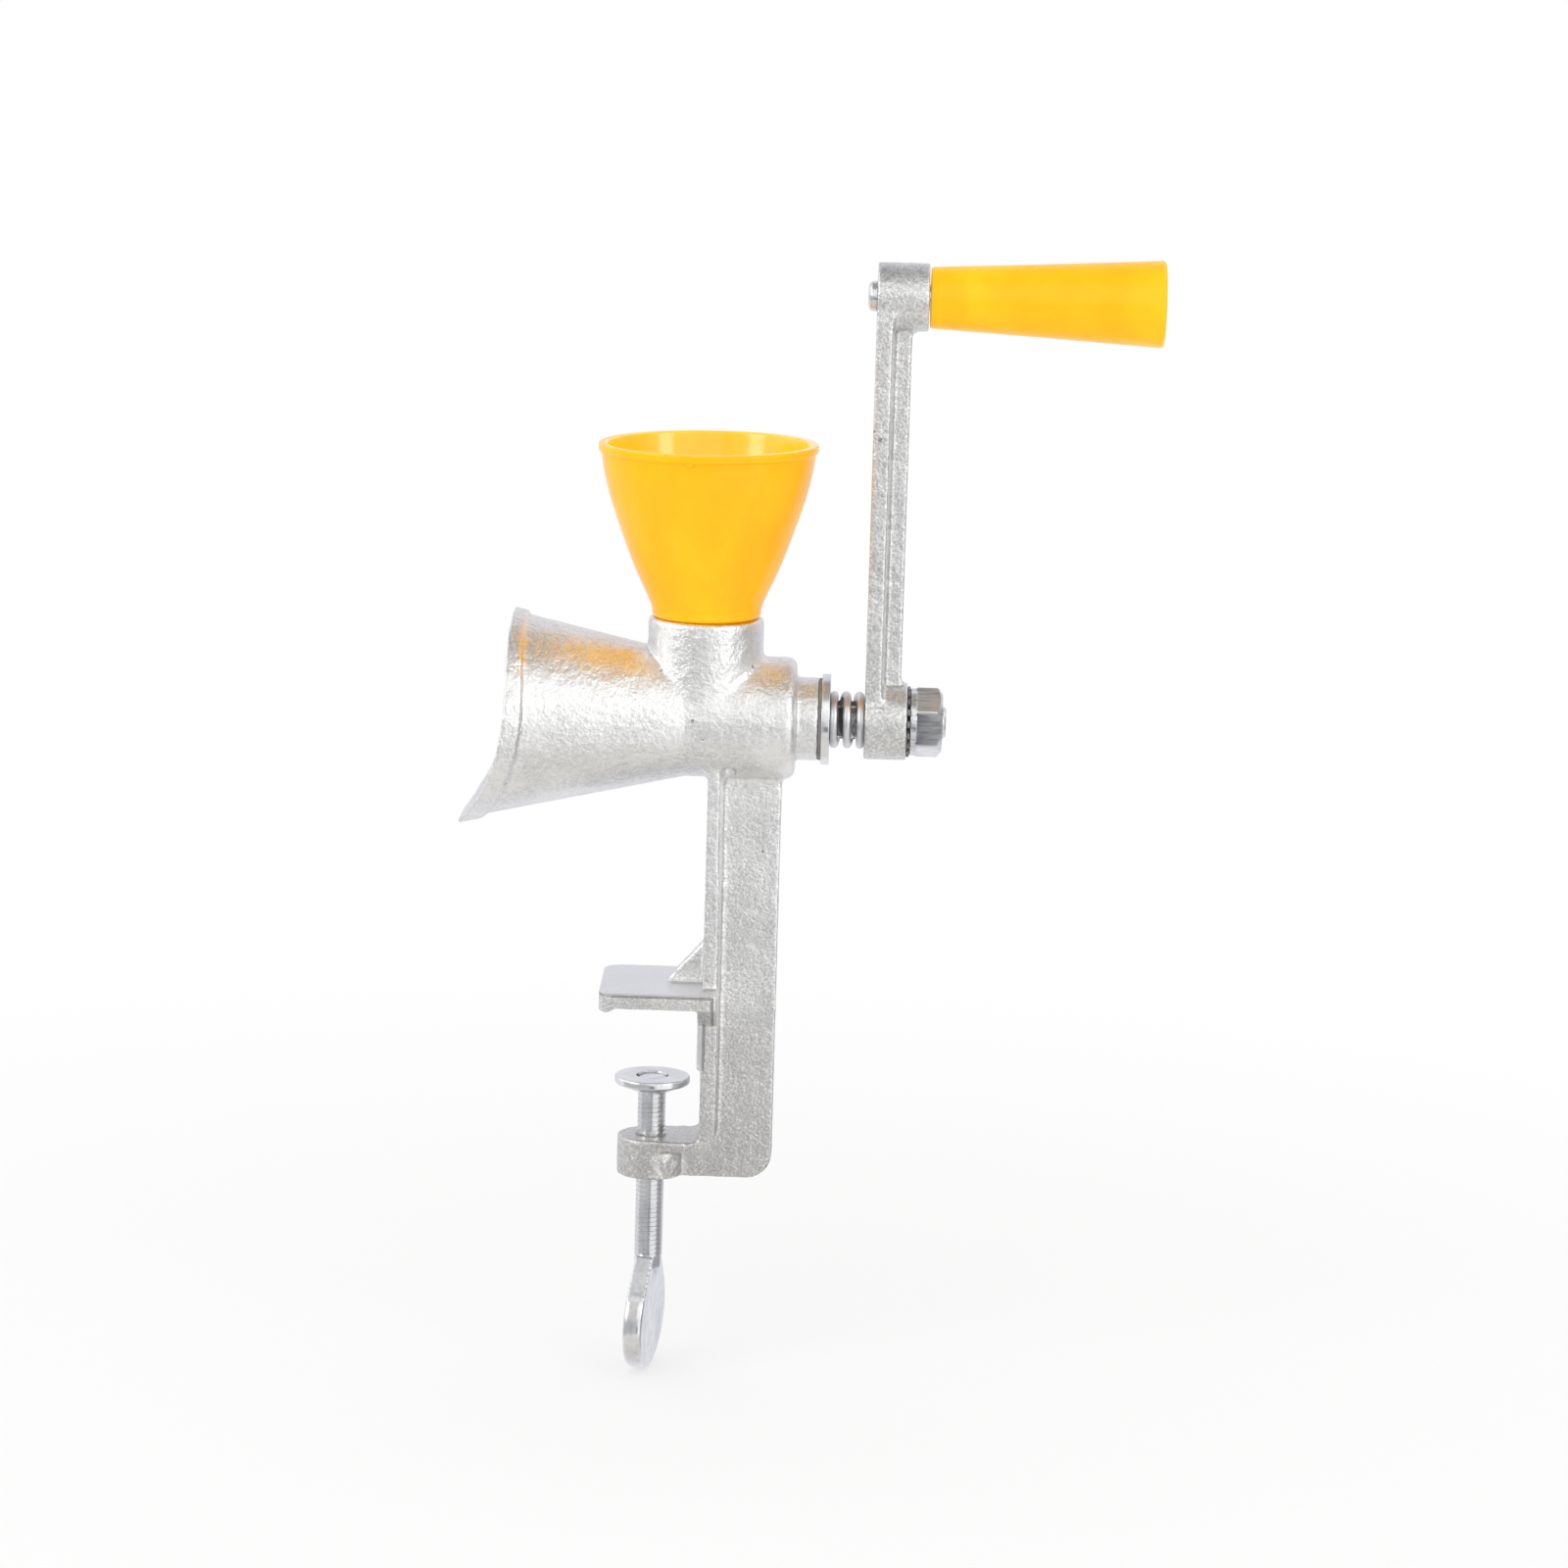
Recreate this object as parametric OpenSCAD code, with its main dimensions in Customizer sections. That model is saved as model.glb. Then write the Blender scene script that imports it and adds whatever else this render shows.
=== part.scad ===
/* [Frame] */
// Height of the crank shaft above the underside of the fixed jaw
jaw_to_shaft = 60.4; // [54:0.1:75]
// Distance along the shaft from the clamp screw to the axis of the hopper
screw_to_hopper = 9; // [7:0.1:13]

/* [Barrel and horn] */
// Outside diameter of the barrel
barrel_d = 25.6; // [24.8:0.1:30]
// Length of the barrel from the hopper axis to its crank end
barrel_reach = 19.3; // [16.8:0.1:24]
// Rounding of the barrel's crank end
barrel_round = 2; // [1:0.1:3.5]
// Bore of the barrel around the auger
barrel_bore = 19.5; // [18.4:0.1:20]
// Thickness of the wall that closes the bore at the crank end
barrel_end_wall = 3.6; // [2.5:0.1:5]
// Outside diameter of the neck
neck_d = 17.4; // [14:0.1:20]
// Length of the neck
neck_len = 4.8; // [4:0.1:10]
// Distance from the hopper axis to where the horn starts to flare
horn_root = 3.8; // [3:0.1:6]
// Half angle of the horn's cone
horn_angle = 12.5; // [11:0.1:16]
// Wall of the horn, square to its surface
horn_wall = 2.5; // [1.8:0.1:3]
// Reach of the mouth from the hopper axis, at the top
mouth_top_reach = 40.4; // [36:0.1:52]
// Reach of the mouth from the hopper axis, at the pouring tip
mouth_tip_reach = 50.9; // [44:0.1:64]
// How far the mouth line bows in from straight, at its deepest
mouth_bow = 4.6; // [0.5:0.1:5]
// Height of the raised band round the mouth
band_h = 0.8; // [0.3:0.1:1.5]
// Width of the raised band at the top of the mouth
band_top_w = 3; // [1.5:0.1:5]
// Width of the raised band at the pouring tip
band_tip_w = 4.6; // [2:0.1:7]

/* [Collar and hopper] */
// Outside diameter of the hopper collar
collar_d = 24.2; // [23:0.1:25.2]
// Height of the collar above the top of the barrel
collar_rise = 8.2; // [7.1:0.1:16]
// Diameter of the feed throat below the collar's seat
throat_d = 16; // [13:0.1:17]
// Diameter of the hopper's spigot
spigot_d = 19.6; // [18.2:0.1:20.4]
// Length of the hopper's spigot
spigot_len = 7.2; // [5:0.1:7.6]
// Gap between the spigot and the collar, on the radius
spigot_gap = 0.2; // [0.1:0.05:0.4]
// Height of the hopper above the collar
hopper_h = 36.4; // [30:0.1:60]
// Outside diameter of the hopper's rim
hopper_rim_d = 45.8; // [38:0.1:60]
// Height of the rim's flange
hopper_rim_h = 1.6; // [1:0.1:3]
// How far the rim's flange stands out from the wall
hopper_rim_out = 0.6; // [0.3:0.1:1.5]
// Diameter of the hopper's foot
hopper_foot_d = 22.8; // [22.2:0.1:26]
// Height of the straight foot
hopper_foot_h = 3.6; // [2:0.1:6]
// How far the hopper's side bows out from straight
hopper_bow = 1.6; // [0.5:0.1:4]
// Wall of the hopper
hopper_wall = 1.4; // [1:0.1:2]

/* [Post and jaws] */
// Width of the post's flange
flange_w = 16; // [12:0.1:22]
// Thickness of the post's flange at the top
flange_top_t = 3.2; // [2.5:0.1:5]
// Thickness of the post's flange at the bottom
flange_bottom_t = 3.6; // [3:0.1:6]
// Depth of the post's web along the shaft, with the flange
post_depth = 15.4; // [12:0.1:16.8]
// Thickness of the post's web
web_t = 5; // [3:0.1:8]
// Rounding of the post's outer bottom corner
post_corner_r = 5.5; // [3:0.1:10]
// Rounding between the post and the screw jaw, on the inside
throat_r = 1.8; // [1:0.1:5]
// Rounding of the flange where it turns into the screw jaw, on the outside
flange_turn_r = 6; // [3:0.1:8]
// Thickness of the flange on top of the screw jaw
plate_t = 2.3; // [1.5:0.1:4]
// Length of the fixed jaw in front of the post
jaw_len = 21.6; // [18:0.1:30]
// Width of the fixed jaw
jaw_w = 29; // [24:0.1:36]
// Thickness of the fixed jaw
jaw_t = 3.3; // [2.5:0.1:6]
// Rounding of the fixed jaw's free corners
jaw_corner_r = 3.5; // [1:0.1:6]
// Length of the ridge under the free end of the fixed jaw
ridge_len = 2.9; // [1.5:0.1:2.9]
// Height of the ridge under the free end of the fixed jaw
ridge_h = 1.1; // [0.5:0.1:1.8]
// Length of the gusset on the fixed jaw
gusset_len = 8.2; // [3:0.1:12]
// Height of the gusset on the fixed jaw
gusset_h = 9.3; // [4:0.1:16]
// Thickness of the gusset
gusset_t = 3; // [2:0.1:6]
// Height over which the flange widens to the fixed jaw
shoulder_h = 4.6; // [2:0.1:12]
// Height of the raised face below the fixed jaw, where the table's edge rests
face_h = 14.2; // [6:0.1:20]
// How far the raised face stands out from the post
face_out = 0.9; // [0.3:0.1:1.3]
// Clear opening between the two jaws
jaw_opening = 30.1; // [27:0.1:45]
// Thickness of the screw jaw
screw_jaw_t = 8.6; // [6:0.1:12]
// Wall of the screw jaw's boss round the clamp screw
screw_boss_wall = 4.2; // [3:0.1:6]
// Radius of the round gate mark on the screw jaw
gate_mark_r = 2.1; // [1:0.1:3]
// Height of the round gate mark
gate_mark_h = 0.3; // [0.2:0.05:0.8]

/* [Clamp screw] */
// Outside diameter of the clamp screw's thread
screw_d = 5.9; // [4.9:0.1:8]
// Pitch of the clamp screw's thread
screw_pitch = 1; // [0.8:0.05:1.5]
// Gap between the clamp screw and its hole, on the radius
screw_gap = 0.05; // [0.03:0.01:0.1]
// Thread showing below the screw jaw at rest
thread_below = 17.9; // [17.6:0.1:30]
// Diameter of the clamp pad
pad_d = 16; // [12:0.1:20]
// Thickness of the clamp pad
pad_t = 3; // [2.5:0.1:5]
// Distance between the fixed jaw and the clamp pad at rest
pad_open = 17.3; // [12:0.1:23]
// Gap between the edge of the clamp pad and the post
pad_post_gap = 2.35; // [1.4:0.05:4]
// Diameter of the clamp screw's tip in the pad
tip_d = 4; // [3:0.1:4.6]
// Diameter of the riveted head on the tip
tip_head_d = 6.4; // [5.4:0.1:8]
// Height of the riveted head on the tip
tip_head_h = 1; // [0.6:0.1:1.2]
// Gap between the pad and the clamp screw's tip
pad_gap = 0.1; // [0.05:0.01:0.2]
// Diameter of the round thumb plate
wing_d = 22.4; // [16:0.1:30]
// Thickness of the thumb plate
wing_t = 4.2; // [3:0.1:6]
// Length of the neck between the thread and the thumb plate
wing_neck_len = 2.9; // [1:0.1:6]
// Width of the thumb plate's shoulders at the thread
wing_neck_w = 7.4; // [6:0.1:9]
// Turn of the thumb plate away from edge-on
wing_turn = 14; // [0:1:90]
// Lean of the thumb plate away from the post
wing_lean = 5; // [0:1:8]

/* [Crank arm] */
// Distance from the shaft to the handle spindle
arm_len = 89; // [75:0.1:130]
// Outside diameter of the arm's hub
hub_d = 16.2; // [14.4:0.1:20]
// Length of the arm's hub
hub_len = 8.85; // [7.6:0.05:12]
// Thickness of the arm's flat bar
bar_t = 3.4; // [2.5:0.1:4.5]
// Width of the arm's flat bar
bar_w = 13.5; // [8:0.1:14]
// Depth of the arm's rib behind the bar
rib_depth = 4; // [2:0.1:5]
// Thickness of the arm's rib
rib_t = 4; // [2.5:0.1:6]
// Outside diameter of the top boss
boss_d = 14.1; // [12:0.1:18]
// Length of the top boss
boss_len = 10.7; // [8:0.1:16]

/* [Handle] */
// Diameter of the handle spindle
spindle_d = 5.4; // [4:0.1:7]
// Diameter of the spindle's riveted end
rivet_d = 6.4; // [6:0.1:8.5]
// Height of the spindle's riveted end
rivet_h = 1.9; // [1:0.1:3]
// Diameter of the spindle's head inside the grip
spindle_head_d = 9; // [8:0.1:10.4]
// Height of the spindle's head
spindle_head_h = 2.4; // [1.5:0.1:3.2]
// Gap between the top boss and the grip
grip_end_gap = 0.3; // [0.3:0.1:2]
// Gap between the grip and the spindle, on the radius
grip_bore_gap = 0.1; // [0.05:0.01:0.1]
// Length of the grip
grip_len = 48.4; // [35:0.1:90]
// Diameter of the grip next to the arm
grip_inner_d = 12.7; // [10:0.1:20]
// Diameter of the grip's free end
grip_outer_d = 18.2; // [15:0.1:26]
// Rounding of the grip's ends
grip_round = 1; // [0.4:0.1:2]
// Depth of the recess in the grip's free end
grip_recess = 4; // [3.4:0.1:8]

/* [Washers, spring and nut] */
// Thickness of the fibre washer on the neck
seal_t = 0.8; // [0.4:0.1:2]
// Outside diameter of the fibre washer on the neck
seal_d = 17.6; // [14:0.1:20]
// Thickness of the steel washer
neck_washer_t = 1.5; // [1:0.1:2.5]
// Outside diameter of the steel washer
neck_washer_d = 19; // [16:0.1:24]
// Length of the spring at rest
spring_len = 7.25; // [6.4:0.05:12]
// Diameter of the spring's wire
spring_wire = 1.6; // [1.2:0.05:1.7]
// Outside diameter of the spring
spring_d = 12; // [11.9:0.1:14]
// Number of turns of the spring
spring_turns = 2.4; // [1.5:0.1:2.4]
// Outside diameter of the serrated lock washer
lock_washer_d = 15; // [12.6:0.1:18]
// Thickness of the serrated lock washer
lock_washer_t = 1.1; // [0.8:0.1:2]
// Number of teeth round the lock washer
lock_teeth = 18; // [12:1:24]
// Distance across the flats of the adjusting nut
nut_flats = 13; // [12:0.1:16]
// Height of the adjusting nut
nut_t = 6.35; // [5:0.05:9]

/* [Shaft and burrs] */
// Diameter of the shaft's journal in the neck
journal_d = 10; // [9:0.1:10.4]
// Running gap between the journal and the neck, on the radius
journal_gap = 0.05; // [0.02:0.01:0.1]
// Diameter of the shaft's thin end and its thread
shaft_d = 8; // [7:0.1:8]
// Distance across the flats that drive the crank arm
shaft_flats = 6.4; // [5.5:0.1:6.8]
// Gap between the thin end and what slides on it, on the radius
shaft_gap = 0.05; // [0.03:0.01:0.1]
// Length of the shaft past the nut at rest
shaft_tip = 0.75; // [0.6:0.05:4]
// Distance across the flats that drive the burr cone
cone_flats = 8; // [7.2:0.1:8.4]
// Distance from the hopper axis to the inner end of the burr ring
ring_start = 9; // [8.6:0.1:11]
// Length of the burr ring
ring_len = 10; // [8:0.1:13]
// Wall of the burr ring at its small end
ring_wall = 2.4; // [2:0.1:2.6]
// Half angle of the burrs
burr_angle = 8; // [6:0.1:9]
// Gap between the two burrs at rest, square to the axis
burr_gap = 0.6; // [0.5:0.05:1]
// How far the burr cone stands out of the ring
cone_out = 1; // [0.4:0.1:2]
// Number of grooves in the burr ring
ring_grooves = 18; // [12:1:24]
// Number of grooves in the burr cone
cone_grooves = 10; // [6:1:12]
// Gap between the auger's flight and the barrel's bore, on the radius
auger_gap = 0.45; // [0.3:0.05:0.8]
// Diameter of the auger's core
auger_core_d = 13; // [12.4:0.1:14]
// Pitch of the auger's flight
auger_pitch = 11; // [8:0.1:16]
// Thickness of the auger's flight
auger_flight_t = 2.6; // [2:0.1:4]
// Gap between the auger and the end of the barrel's bore at rest
auger_end_gap = 1.4; // [1.3:0.1:2.5]
// Diameter of the cross pin in the auger
pin_d = 2.5; // [1.5:0.1:3]
// Outside diameter of the washer in front of the burr cone
cone_washer_d = 16; // [13:0.1:18]
// Thickness of the washer in front of the burr cone
cone_washer_t = 1.6; // [1:0.1:2.5]
// Diameter of the cone screw's thread
cone_screw_d = 6; // [5:0.1:6.4]
// Length of the cone screw under its head
cone_screw_len = 12; // [8:0.1:18]
// Distance across the flats of the cone screw's head
cone_screw_flats = 10; // [8:0.1:11]
// Height of the cone screw's head
cone_screw_head = 4; // [3:0.1:5]

/* [Hidden] */
$fn = 96;

// Overshoot of every cut past the face that it opens
cut = 1;
// Segments of a bowed outline
bow_steps = 12;

// Places along the shaft, from the hopper towards the crank
shaft_z = jaw_to_shaft;
hopper_x = screw_to_hopper;
barrel_end_x = hopper_x + barrel_reach;
neck_end_x = barrel_end_x + neck_len;
seal_end_x = neck_end_x + seal_t;
washer_end_x = seal_end_x + neck_washer_t;
hub_x = washer_end_x + spring_len;
hub_end_x = hub_x + hub_len;
lock_end_x = hub_end_x + lock_washer_t;
nut_end_x = lock_end_x + nut_t;
shaft_end_x = nut_end_x + shaft_tip;
arm_top_z = shaft_z + arm_len;
boss_end_x = hub_x + boss_len;
grip_x = boss_end_x + grip_end_gap;
grip_end_x = grip_x + grip_len;

// Horn, from its root to beyond the mouth
horn_root_x = hopper_x - horn_root;
horn_far_x = hopper_x - mouth_tip_reach - 2 * band_tip_w;
horn_slope = tan(horn_angle);
mouth_top_x = hopper_x - mouth_top_reach;
mouth_tip_x = hopper_x - mouth_tip_reach;
mouth_overrun = 0.15;
mouth_power = 1.5;

// Burrs, towards the mouth
ring_x = hopper_x - ring_start;
ring_front_x = ring_x - ring_len;
ring_d = barrel_bore + 2 * ring_wall;
ring_groove_w = 1.2;
ring_groove_depth = 0.5;
cone_groove_w = 2;
cone_groove_depth = 1.4;
cone_back_gap = 0.4;
cone_x = ring_x - cone_back_gap;
cone_front_x = ring_front_x - cone_out;
cone_washer_x = cone_front_x - cone_washer_t;
shaft_inset = 0.4;
shaft_front_x = cone_front_x + shaft_inset;
bore_end_x = barrel_end_x - barrel_end_wall;
auger_end_x = bore_end_x - auger_end_gap;
auger_sides = 32;
auger_slices = 24;
pin_x = auger_end_x - 2 * pin_d;
pin_inset = 0.5;
cone_washer_gap = 0.2;
cone_screw_chamfer = 0.6;

// The journal ends inside the neck, and the flats reach past the hub both ways
journal_inset = 1.3;
journal_end_x = neck_end_x - journal_inset;
flats_margin = 1.8;
shaft_chamfer = 0.5;

// Gap between the washers and the shaft, on the radius, and the cuts of the washer and the nut
washer_gap = 0.15;
lock_tooth_depth = 0.9;
nut_chamfer = 0.9;

// Handle
recess_gap = 0.8;
round_step = 15;

// Collar and hopper
collar_top = barrel_d / 2 + collar_rise;
collar_bore = spigot_d + 2 * spigot_gap;
seat_room = 1;
seat_depth = spigot_len + seat_room;
hopper_wall_r = hopper_rim_d / 2 - hopper_rim_out;
hopper_side_h = hopper_h - hopper_rim_h;
hopper_blend_h = 2;
gate_stub_d = 1.3;
gate_stub_h = 1.6;
gate_stub_drop = 1.5;
gate_stub_turn = -100;

// Post and jaws, with the screw's axis at the origin
post_x = pad_d / 2 + pad_post_gap;
jaw_tip_x = post_x - jaw_len;
screw_boss_r = screw_d / 2 + screw_boss_wall;
jaw_bottom_z = -jaw_opening - screw_jaw_t;
plate_z = -jaw_opening - plate_t;
flange_x = post_x + flange_bottom_t;
web_x = post_x + post_depth;
gate_mark_turn = -52;
gate_mark_sink = 0.4;

// Clamp screw
thread_ratio = 0.54;
screw_depth = thread_ratio * screw_pitch;
pad_top_z = -pad_open;
pad_bottom_z = pad_top_z - pad_t;
tip_recess = tip_head_h + 2 * pad_gap;
wing_top_z = jaw_bottom_z - thread_below;
wing_r = wing_d / 2;
wing_centre_z = wing_top_z - wing_neck_len - wing_r;
wing_sink = 0.1;
wing_shoulder_angle = 30;

// Spring: its wire is a tube of six sides with eight rings to the turn
spring_sides = 6;
spring_rings = 8;
spring_seat_gap = 0.02;
spring_mean_r = (spring_d - spring_wire) / 2;
spring_rise = spring_len - spring_wire - 2 * spring_seat_gap;
spring_last = round(spring_turns * spring_rings);

function horn_r(x) = barrel_d / 2 + (horn_root_x - x) * horn_slope;

function ring_r(x) = barrel_bore / 2 + (ring_x - x) * tan(burr_angle);

// How far the mouth line bows in at t, from its top (0) to its tip (1)
function mouth_hollow(t) =
    let (deepest = mouth_power / (mouth_power + 1))
    mouth_bow * pow(max(t, 0) / deepest, mouth_power) * (1 - t) / (1 - deepest);

// A point on the mouth line in side view, moved along the shaft
function mouth_point(t, shift) =
    let (top = [mouth_top_x, shaft_z + horn_r(mouth_top_x)])
    let (tip = [mouth_tip_x, shaft_z - horn_r(mouth_tip_x)])
    top + (tip - top) * t + [mouth_hollow(t) + shift, 0];

function mouth_step(i) = -mouth_overrun + (1 + 2 * mouth_overrun) * i / bow_steps;

function band_width(t) = band_top_w + (band_tip_w - band_top_w) * t;

// Points from a to b on a line that bows out to the right by the given amount
function bowed(a, b, bow) =
    let (across = [b[1] - a[1], a[0] - b[0]] / norm(b - a))
    [for (i = [0 : bow_steps]) let (t = i / bow_steps) a + (b - a) * t + across * 4 * bow * t * (1 - t)];

// Places its children's z axis along the shaft, starting at x
module along_shaft(x) {
    translate([x, 0, shaft_z]) rotate([0, 90, 0]) children();
}

// Turns an outline drawn in side view into a slab across the shaft
module slab(width) {
    rotate([90, 0, 0]) linear_extrude(height = width, center = true) children();
}

// A disc with two flats, for driving ends and their holes
module flatted(d, flats) {
    intersection() {
        circle(d = d);
        square([flats, d + cut], center = true);
    }
}

module hexagon_head(flats, height, chamfer) {
    corner = flats / cos(30);
    intersection() {
        cylinder(d = corner, h = height, $fn = 6);
        union() {
            cylinder(d1 = corner - 2 * chamfer, d2 = corner, h = chamfer * tan(30));
            translate([0, 0, chamfer * tan(30)]) cylinder(d = corner, h = height - 2 * chamfer * tan(30));
            translate([0, 0, height - chamfer * tan(30)])
                cylinder(d1 = corner, d2 = corner - 2 * chamfer, h = chamfer * tan(30));
        }
    }
}

module barrel_solid() {
    along_shaft(horn_root_x)
        rotate_extrude() {
            square([barrel_d / 2, barrel_end_x - horn_root_x - barrel_round]);
            square([barrel_d / 2 - barrel_round, barrel_end_x - horn_root_x]);
            translate([barrel_d / 2 - barrel_round, barrel_end_x - horn_root_x - barrel_round])
                intersection() {
                    circle(r = barrel_round);
                    square(barrel_round);
                }
        }
    along_shaft(barrel_end_x - cut) cylinder(d = neck_d, h = neck_len + cut);
}

module horn_solid(extra) {
    along_shaft(horn_far_x)
        cylinder(r1 = horn_r(horn_far_x) + extra, r2 = barrel_d / 2 + extra, h = horn_root_x - horn_far_x);
}

module mouth_band() {
    intersection() {
        horn_solid(band_h);
        slab(4 * barrel_d)
            polygon(concat(
                [for (i = [0 : bow_steps]) mouth_point(mouth_step(i), -cut)],
                [for (i = [bow_steps : -1 : 0]) mouth_point(mouth_step(i), band_width(mouth_step(i)))]));
    }
}

module mouth_cut() {
    top_z = mouth_point(-mouth_overrun, 0)[1];
    bottom_z = mouth_point(1 + mouth_overrun, 0)[1];
    slab(4 * barrel_d)
        polygon(concat(
            [for (i = [0 : bow_steps]) mouth_point(mouth_step(i), 0)],
            [[horn_far_x - cut, bottom_z], [horn_far_x - cut, top_z]]));
}

module horn_hollow() {
    radial_wall = horn_wall / cos(horn_angle);
    along_shaft(horn_far_x - cut)
        cylinder(
            r1 = horn_r(horn_far_x - cut) - radial_wall,
            r2 = horn_r(ring_front_x) - radial_wall,
            h = ring_front_x - horn_far_x + cut);
}

// The flange runs down the post and turns into the top of the screw jaw
module flange() {
    slab(flange_w)
        difference() {
            union() {
                polygon([
                    [post_x, plate_z],
                    [post_x, shaft_z],
                    [post_x + flange_top_t, shaft_z],
                    [flange_x, plate_z + flange_turn_r],
                    [flange_x, plate_z]]);
                translate([post_x - throat_r, plate_z]) square([throat_r, plate_t + throat_r]);
            }
            translate([post_x - throat_r, throat_r - jaw_opening]) circle(r = throat_r);
            difference() {
                translate([flange_x - flange_turn_r, plate_z - cut]) square(flange_turn_r + cut);
                translate([flange_x - flange_turn_r, plate_z + flange_turn_r]) circle(r = flange_turn_r);
            }
        }
}

module web() {
    corner_z = jaw_bottom_z + post_corner_r;
    slab(web_t) {
        translate([0, jaw_bottom_z]) square([web_x - post_corner_r, screw_jaw_t - plate_t / 2]);
        translate([post_x + flange_top_t / 2, corner_z])
            square([post_depth - flange_top_t / 2, shaft_z - corner_z]);
        translate([web_x - post_corner_r, corner_z]) circle(r = post_corner_r);
    }
}

module jaw_outline() {
    translate([jaw_tip_x + jaw_corner_r, -jaw_w / 2]) square([jaw_len - jaw_corner_r + flange_top_t, jaw_w]);
    translate([jaw_tip_x, -jaw_w / 2 + jaw_corner_r]) square([jaw_corner_r, jaw_w - 2 * jaw_corner_r]);
    for (side = [-1, 1])
        translate([jaw_tip_x + jaw_corner_r, side * (jaw_w / 2 - jaw_corner_r)]) circle(r = jaw_corner_r);
}

module fixed_jaw() {
    linear_extrude(height = jaw_t) jaw_outline();
    translate([0, 0, -ridge_h])
        linear_extrude(height = ridge_h + jaw_t / 2)
            intersection() {
                jaw_outline();
                translate([jaw_tip_x, -jaw_w / 2]) square([ridge_len, jaw_w]);
            }
    slab(gusset_t)
        polygon([
            [post_x - gusset_len, jaw_t],
            [post_x, jaw_t + gusset_h],
            [post_x + flange_top_t, jaw_t],
            [post_x, jaw_t / 2]]);
    slab(flange_w)
        translate([post_x - face_out, -face_h]) square([face_out + cut, face_h + jaw_t / 2]);
    translate([post_x + flange_top_t, 0, 0])
        rotate([90, 0, -90])
            linear_extrude(height = flange_top_t + face_out)
                polygon([
                    [-jaw_w / 2, jaw_t],
                    [-jaw_w / 2, 0],
                    [-flange_w / 2, -shoulder_h],
                    [flange_w / 2, -shoulder_h],
                    [jaw_w / 2, 0],
                    [jaw_w / 2, jaw_t]]);
}

module screw_jaw() {
    plate_x = post_x - throat_r;
    translate([0, 0, jaw_bottom_z]) cylinder(r = screw_boss_r, h = screw_jaw_t);
    translate([0, 0, plate_z])
        linear_extrude(height = plate_t)
            polygon([
                [0, -screw_boss_r],
                [plate_x, -flange_w / 2],
                [post_x, -flange_w / 2],
                [post_x, flange_w / 2],
                [plate_x, flange_w / 2],
                [0, screw_boss_r]]);
    rotate([0, 0, gate_mark_turn])
        translate([screw_boss_r - gate_mark_sink, 0, (jaw_bottom_z + plate_z) / 2])
            rotate([0, 90, 0]) cylinder(r = gate_mark_r, h = gate_mark_sink + gate_mark_h);
}

module body_casting() {
    color("gainsboro")
        difference() {
            union() {
                barrel_solid();
                horn_solid(0);
                mouth_band();
                translate([hopper_x, 0, shaft_z]) cylinder(d = collar_d, h = collar_top);
                flange();
                web();
                fixed_jaw();
                screw_jaw();
            }
            mouth_cut();
            horn_hollow();
            along_shaft(ring_front_x) cylinder(d = ring_d, h = ring_len);
            along_shaft(ring_x - cut) cylinder(d = barrel_bore, h = bore_end_x - ring_x + cut);
            along_shaft(bore_end_x - cut)
                cylinder(d = journal_d + 2 * journal_gap, h = neck_end_x - bore_end_x + 2 * cut);
            translate([hopper_x, 0, shaft_z]) cylinder(d = throat_d, h = collar_top + cut);
            translate([hopper_x, 0, shaft_z + collar_top - seat_depth])
                cylinder(d = collar_bore, h = seat_depth + cut);
            translate([0, 0, jaw_bottom_z - cut])
                cylinder(d = screw_d + 2 * screw_gap, h = screw_jaw_t + 2 * cut);
        }
}

module burr_ring() {
    color("dimgray")
        difference() {
            along_shaft(ring_front_x) cylinder(d = ring_d, h = ring_len);
            along_shaft(ring_front_x - cut)
                cylinder(r1 = ring_r(ring_front_x - cut), r2 = ring_r(ring_x + cut), h = ring_len + 2 * cut);
            for (i = [0 : ring_grooves - 1])
                translate([ring_x, 0, shaft_z])
                    rotate([i * 360 / ring_grooves, 0, 0])
                        translate([0, 0, ring_r(ring_x)])
                            rotate([0, burr_angle, 0])
                                translate([-2 * ring_len, -ring_groove_w / 2, -ring_groove_depth])
                                    cube([3 * ring_len, ring_groove_w, 2 * ring_groove_depth]);
        }
}

module washer(d, hole, thickness) {
    difference() {
        cylinder(d = d, h = thickness);
        translate([0, 0, -cut]) cylinder(d = hole, h = thickness + 2 * cut);
    }
}

module neck_seal() {
    color("darkslategray")
        along_shaft(neck_end_x) washer(seal_d, shaft_d + 2 * washer_gap, seal_t);
}

module neck_washer() {
    color("silver")
        along_shaft(seal_end_x) washer(neck_washer_d, shaft_d + 2 * washer_gap, neck_washer_t);
}

module hopper() {
    foot_r = hopper_foot_d / 2;
    bore_r = spigot_d / 2 - hopper_wall;
    side_low = [foot_r + hopper_blend_h / 3, hopper_foot_h + hopper_blend_h];
    side_high = [hopper_wall_r, hopper_side_h];
    inward = [-hopper_wall, 0];
    color("orange")
        translate([hopper_x, 0, shaft_z + collar_top]) {
            rotate_extrude()
                polygon(concat(
                    [[bore_r, -spigot_len], [spigot_d / 2, -spigot_len], [spigot_d / 2, 0], [foot_r, 0]],
                    [[foot_r, hopper_foot_h]],
                    bowed(side_low, side_high, hopper_bow),
                    [[hopper_rim_d / 2, hopper_side_h], [hopper_rim_d / 2, hopper_h]],
                    [side_high + inward + [0, hopper_rim_h]],
                    bowed(side_high + inward, side_low + inward, -hopper_bow),
                    [[bore_r, hopper_foot_h]]));
            rotate([0, 0, gate_stub_turn])
                translate([hopper_wall_r, 0, hopper_side_h - gate_stub_drop])
                    cylinder(d = gate_stub_d, h = gate_stub_h);
        }
}

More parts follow.
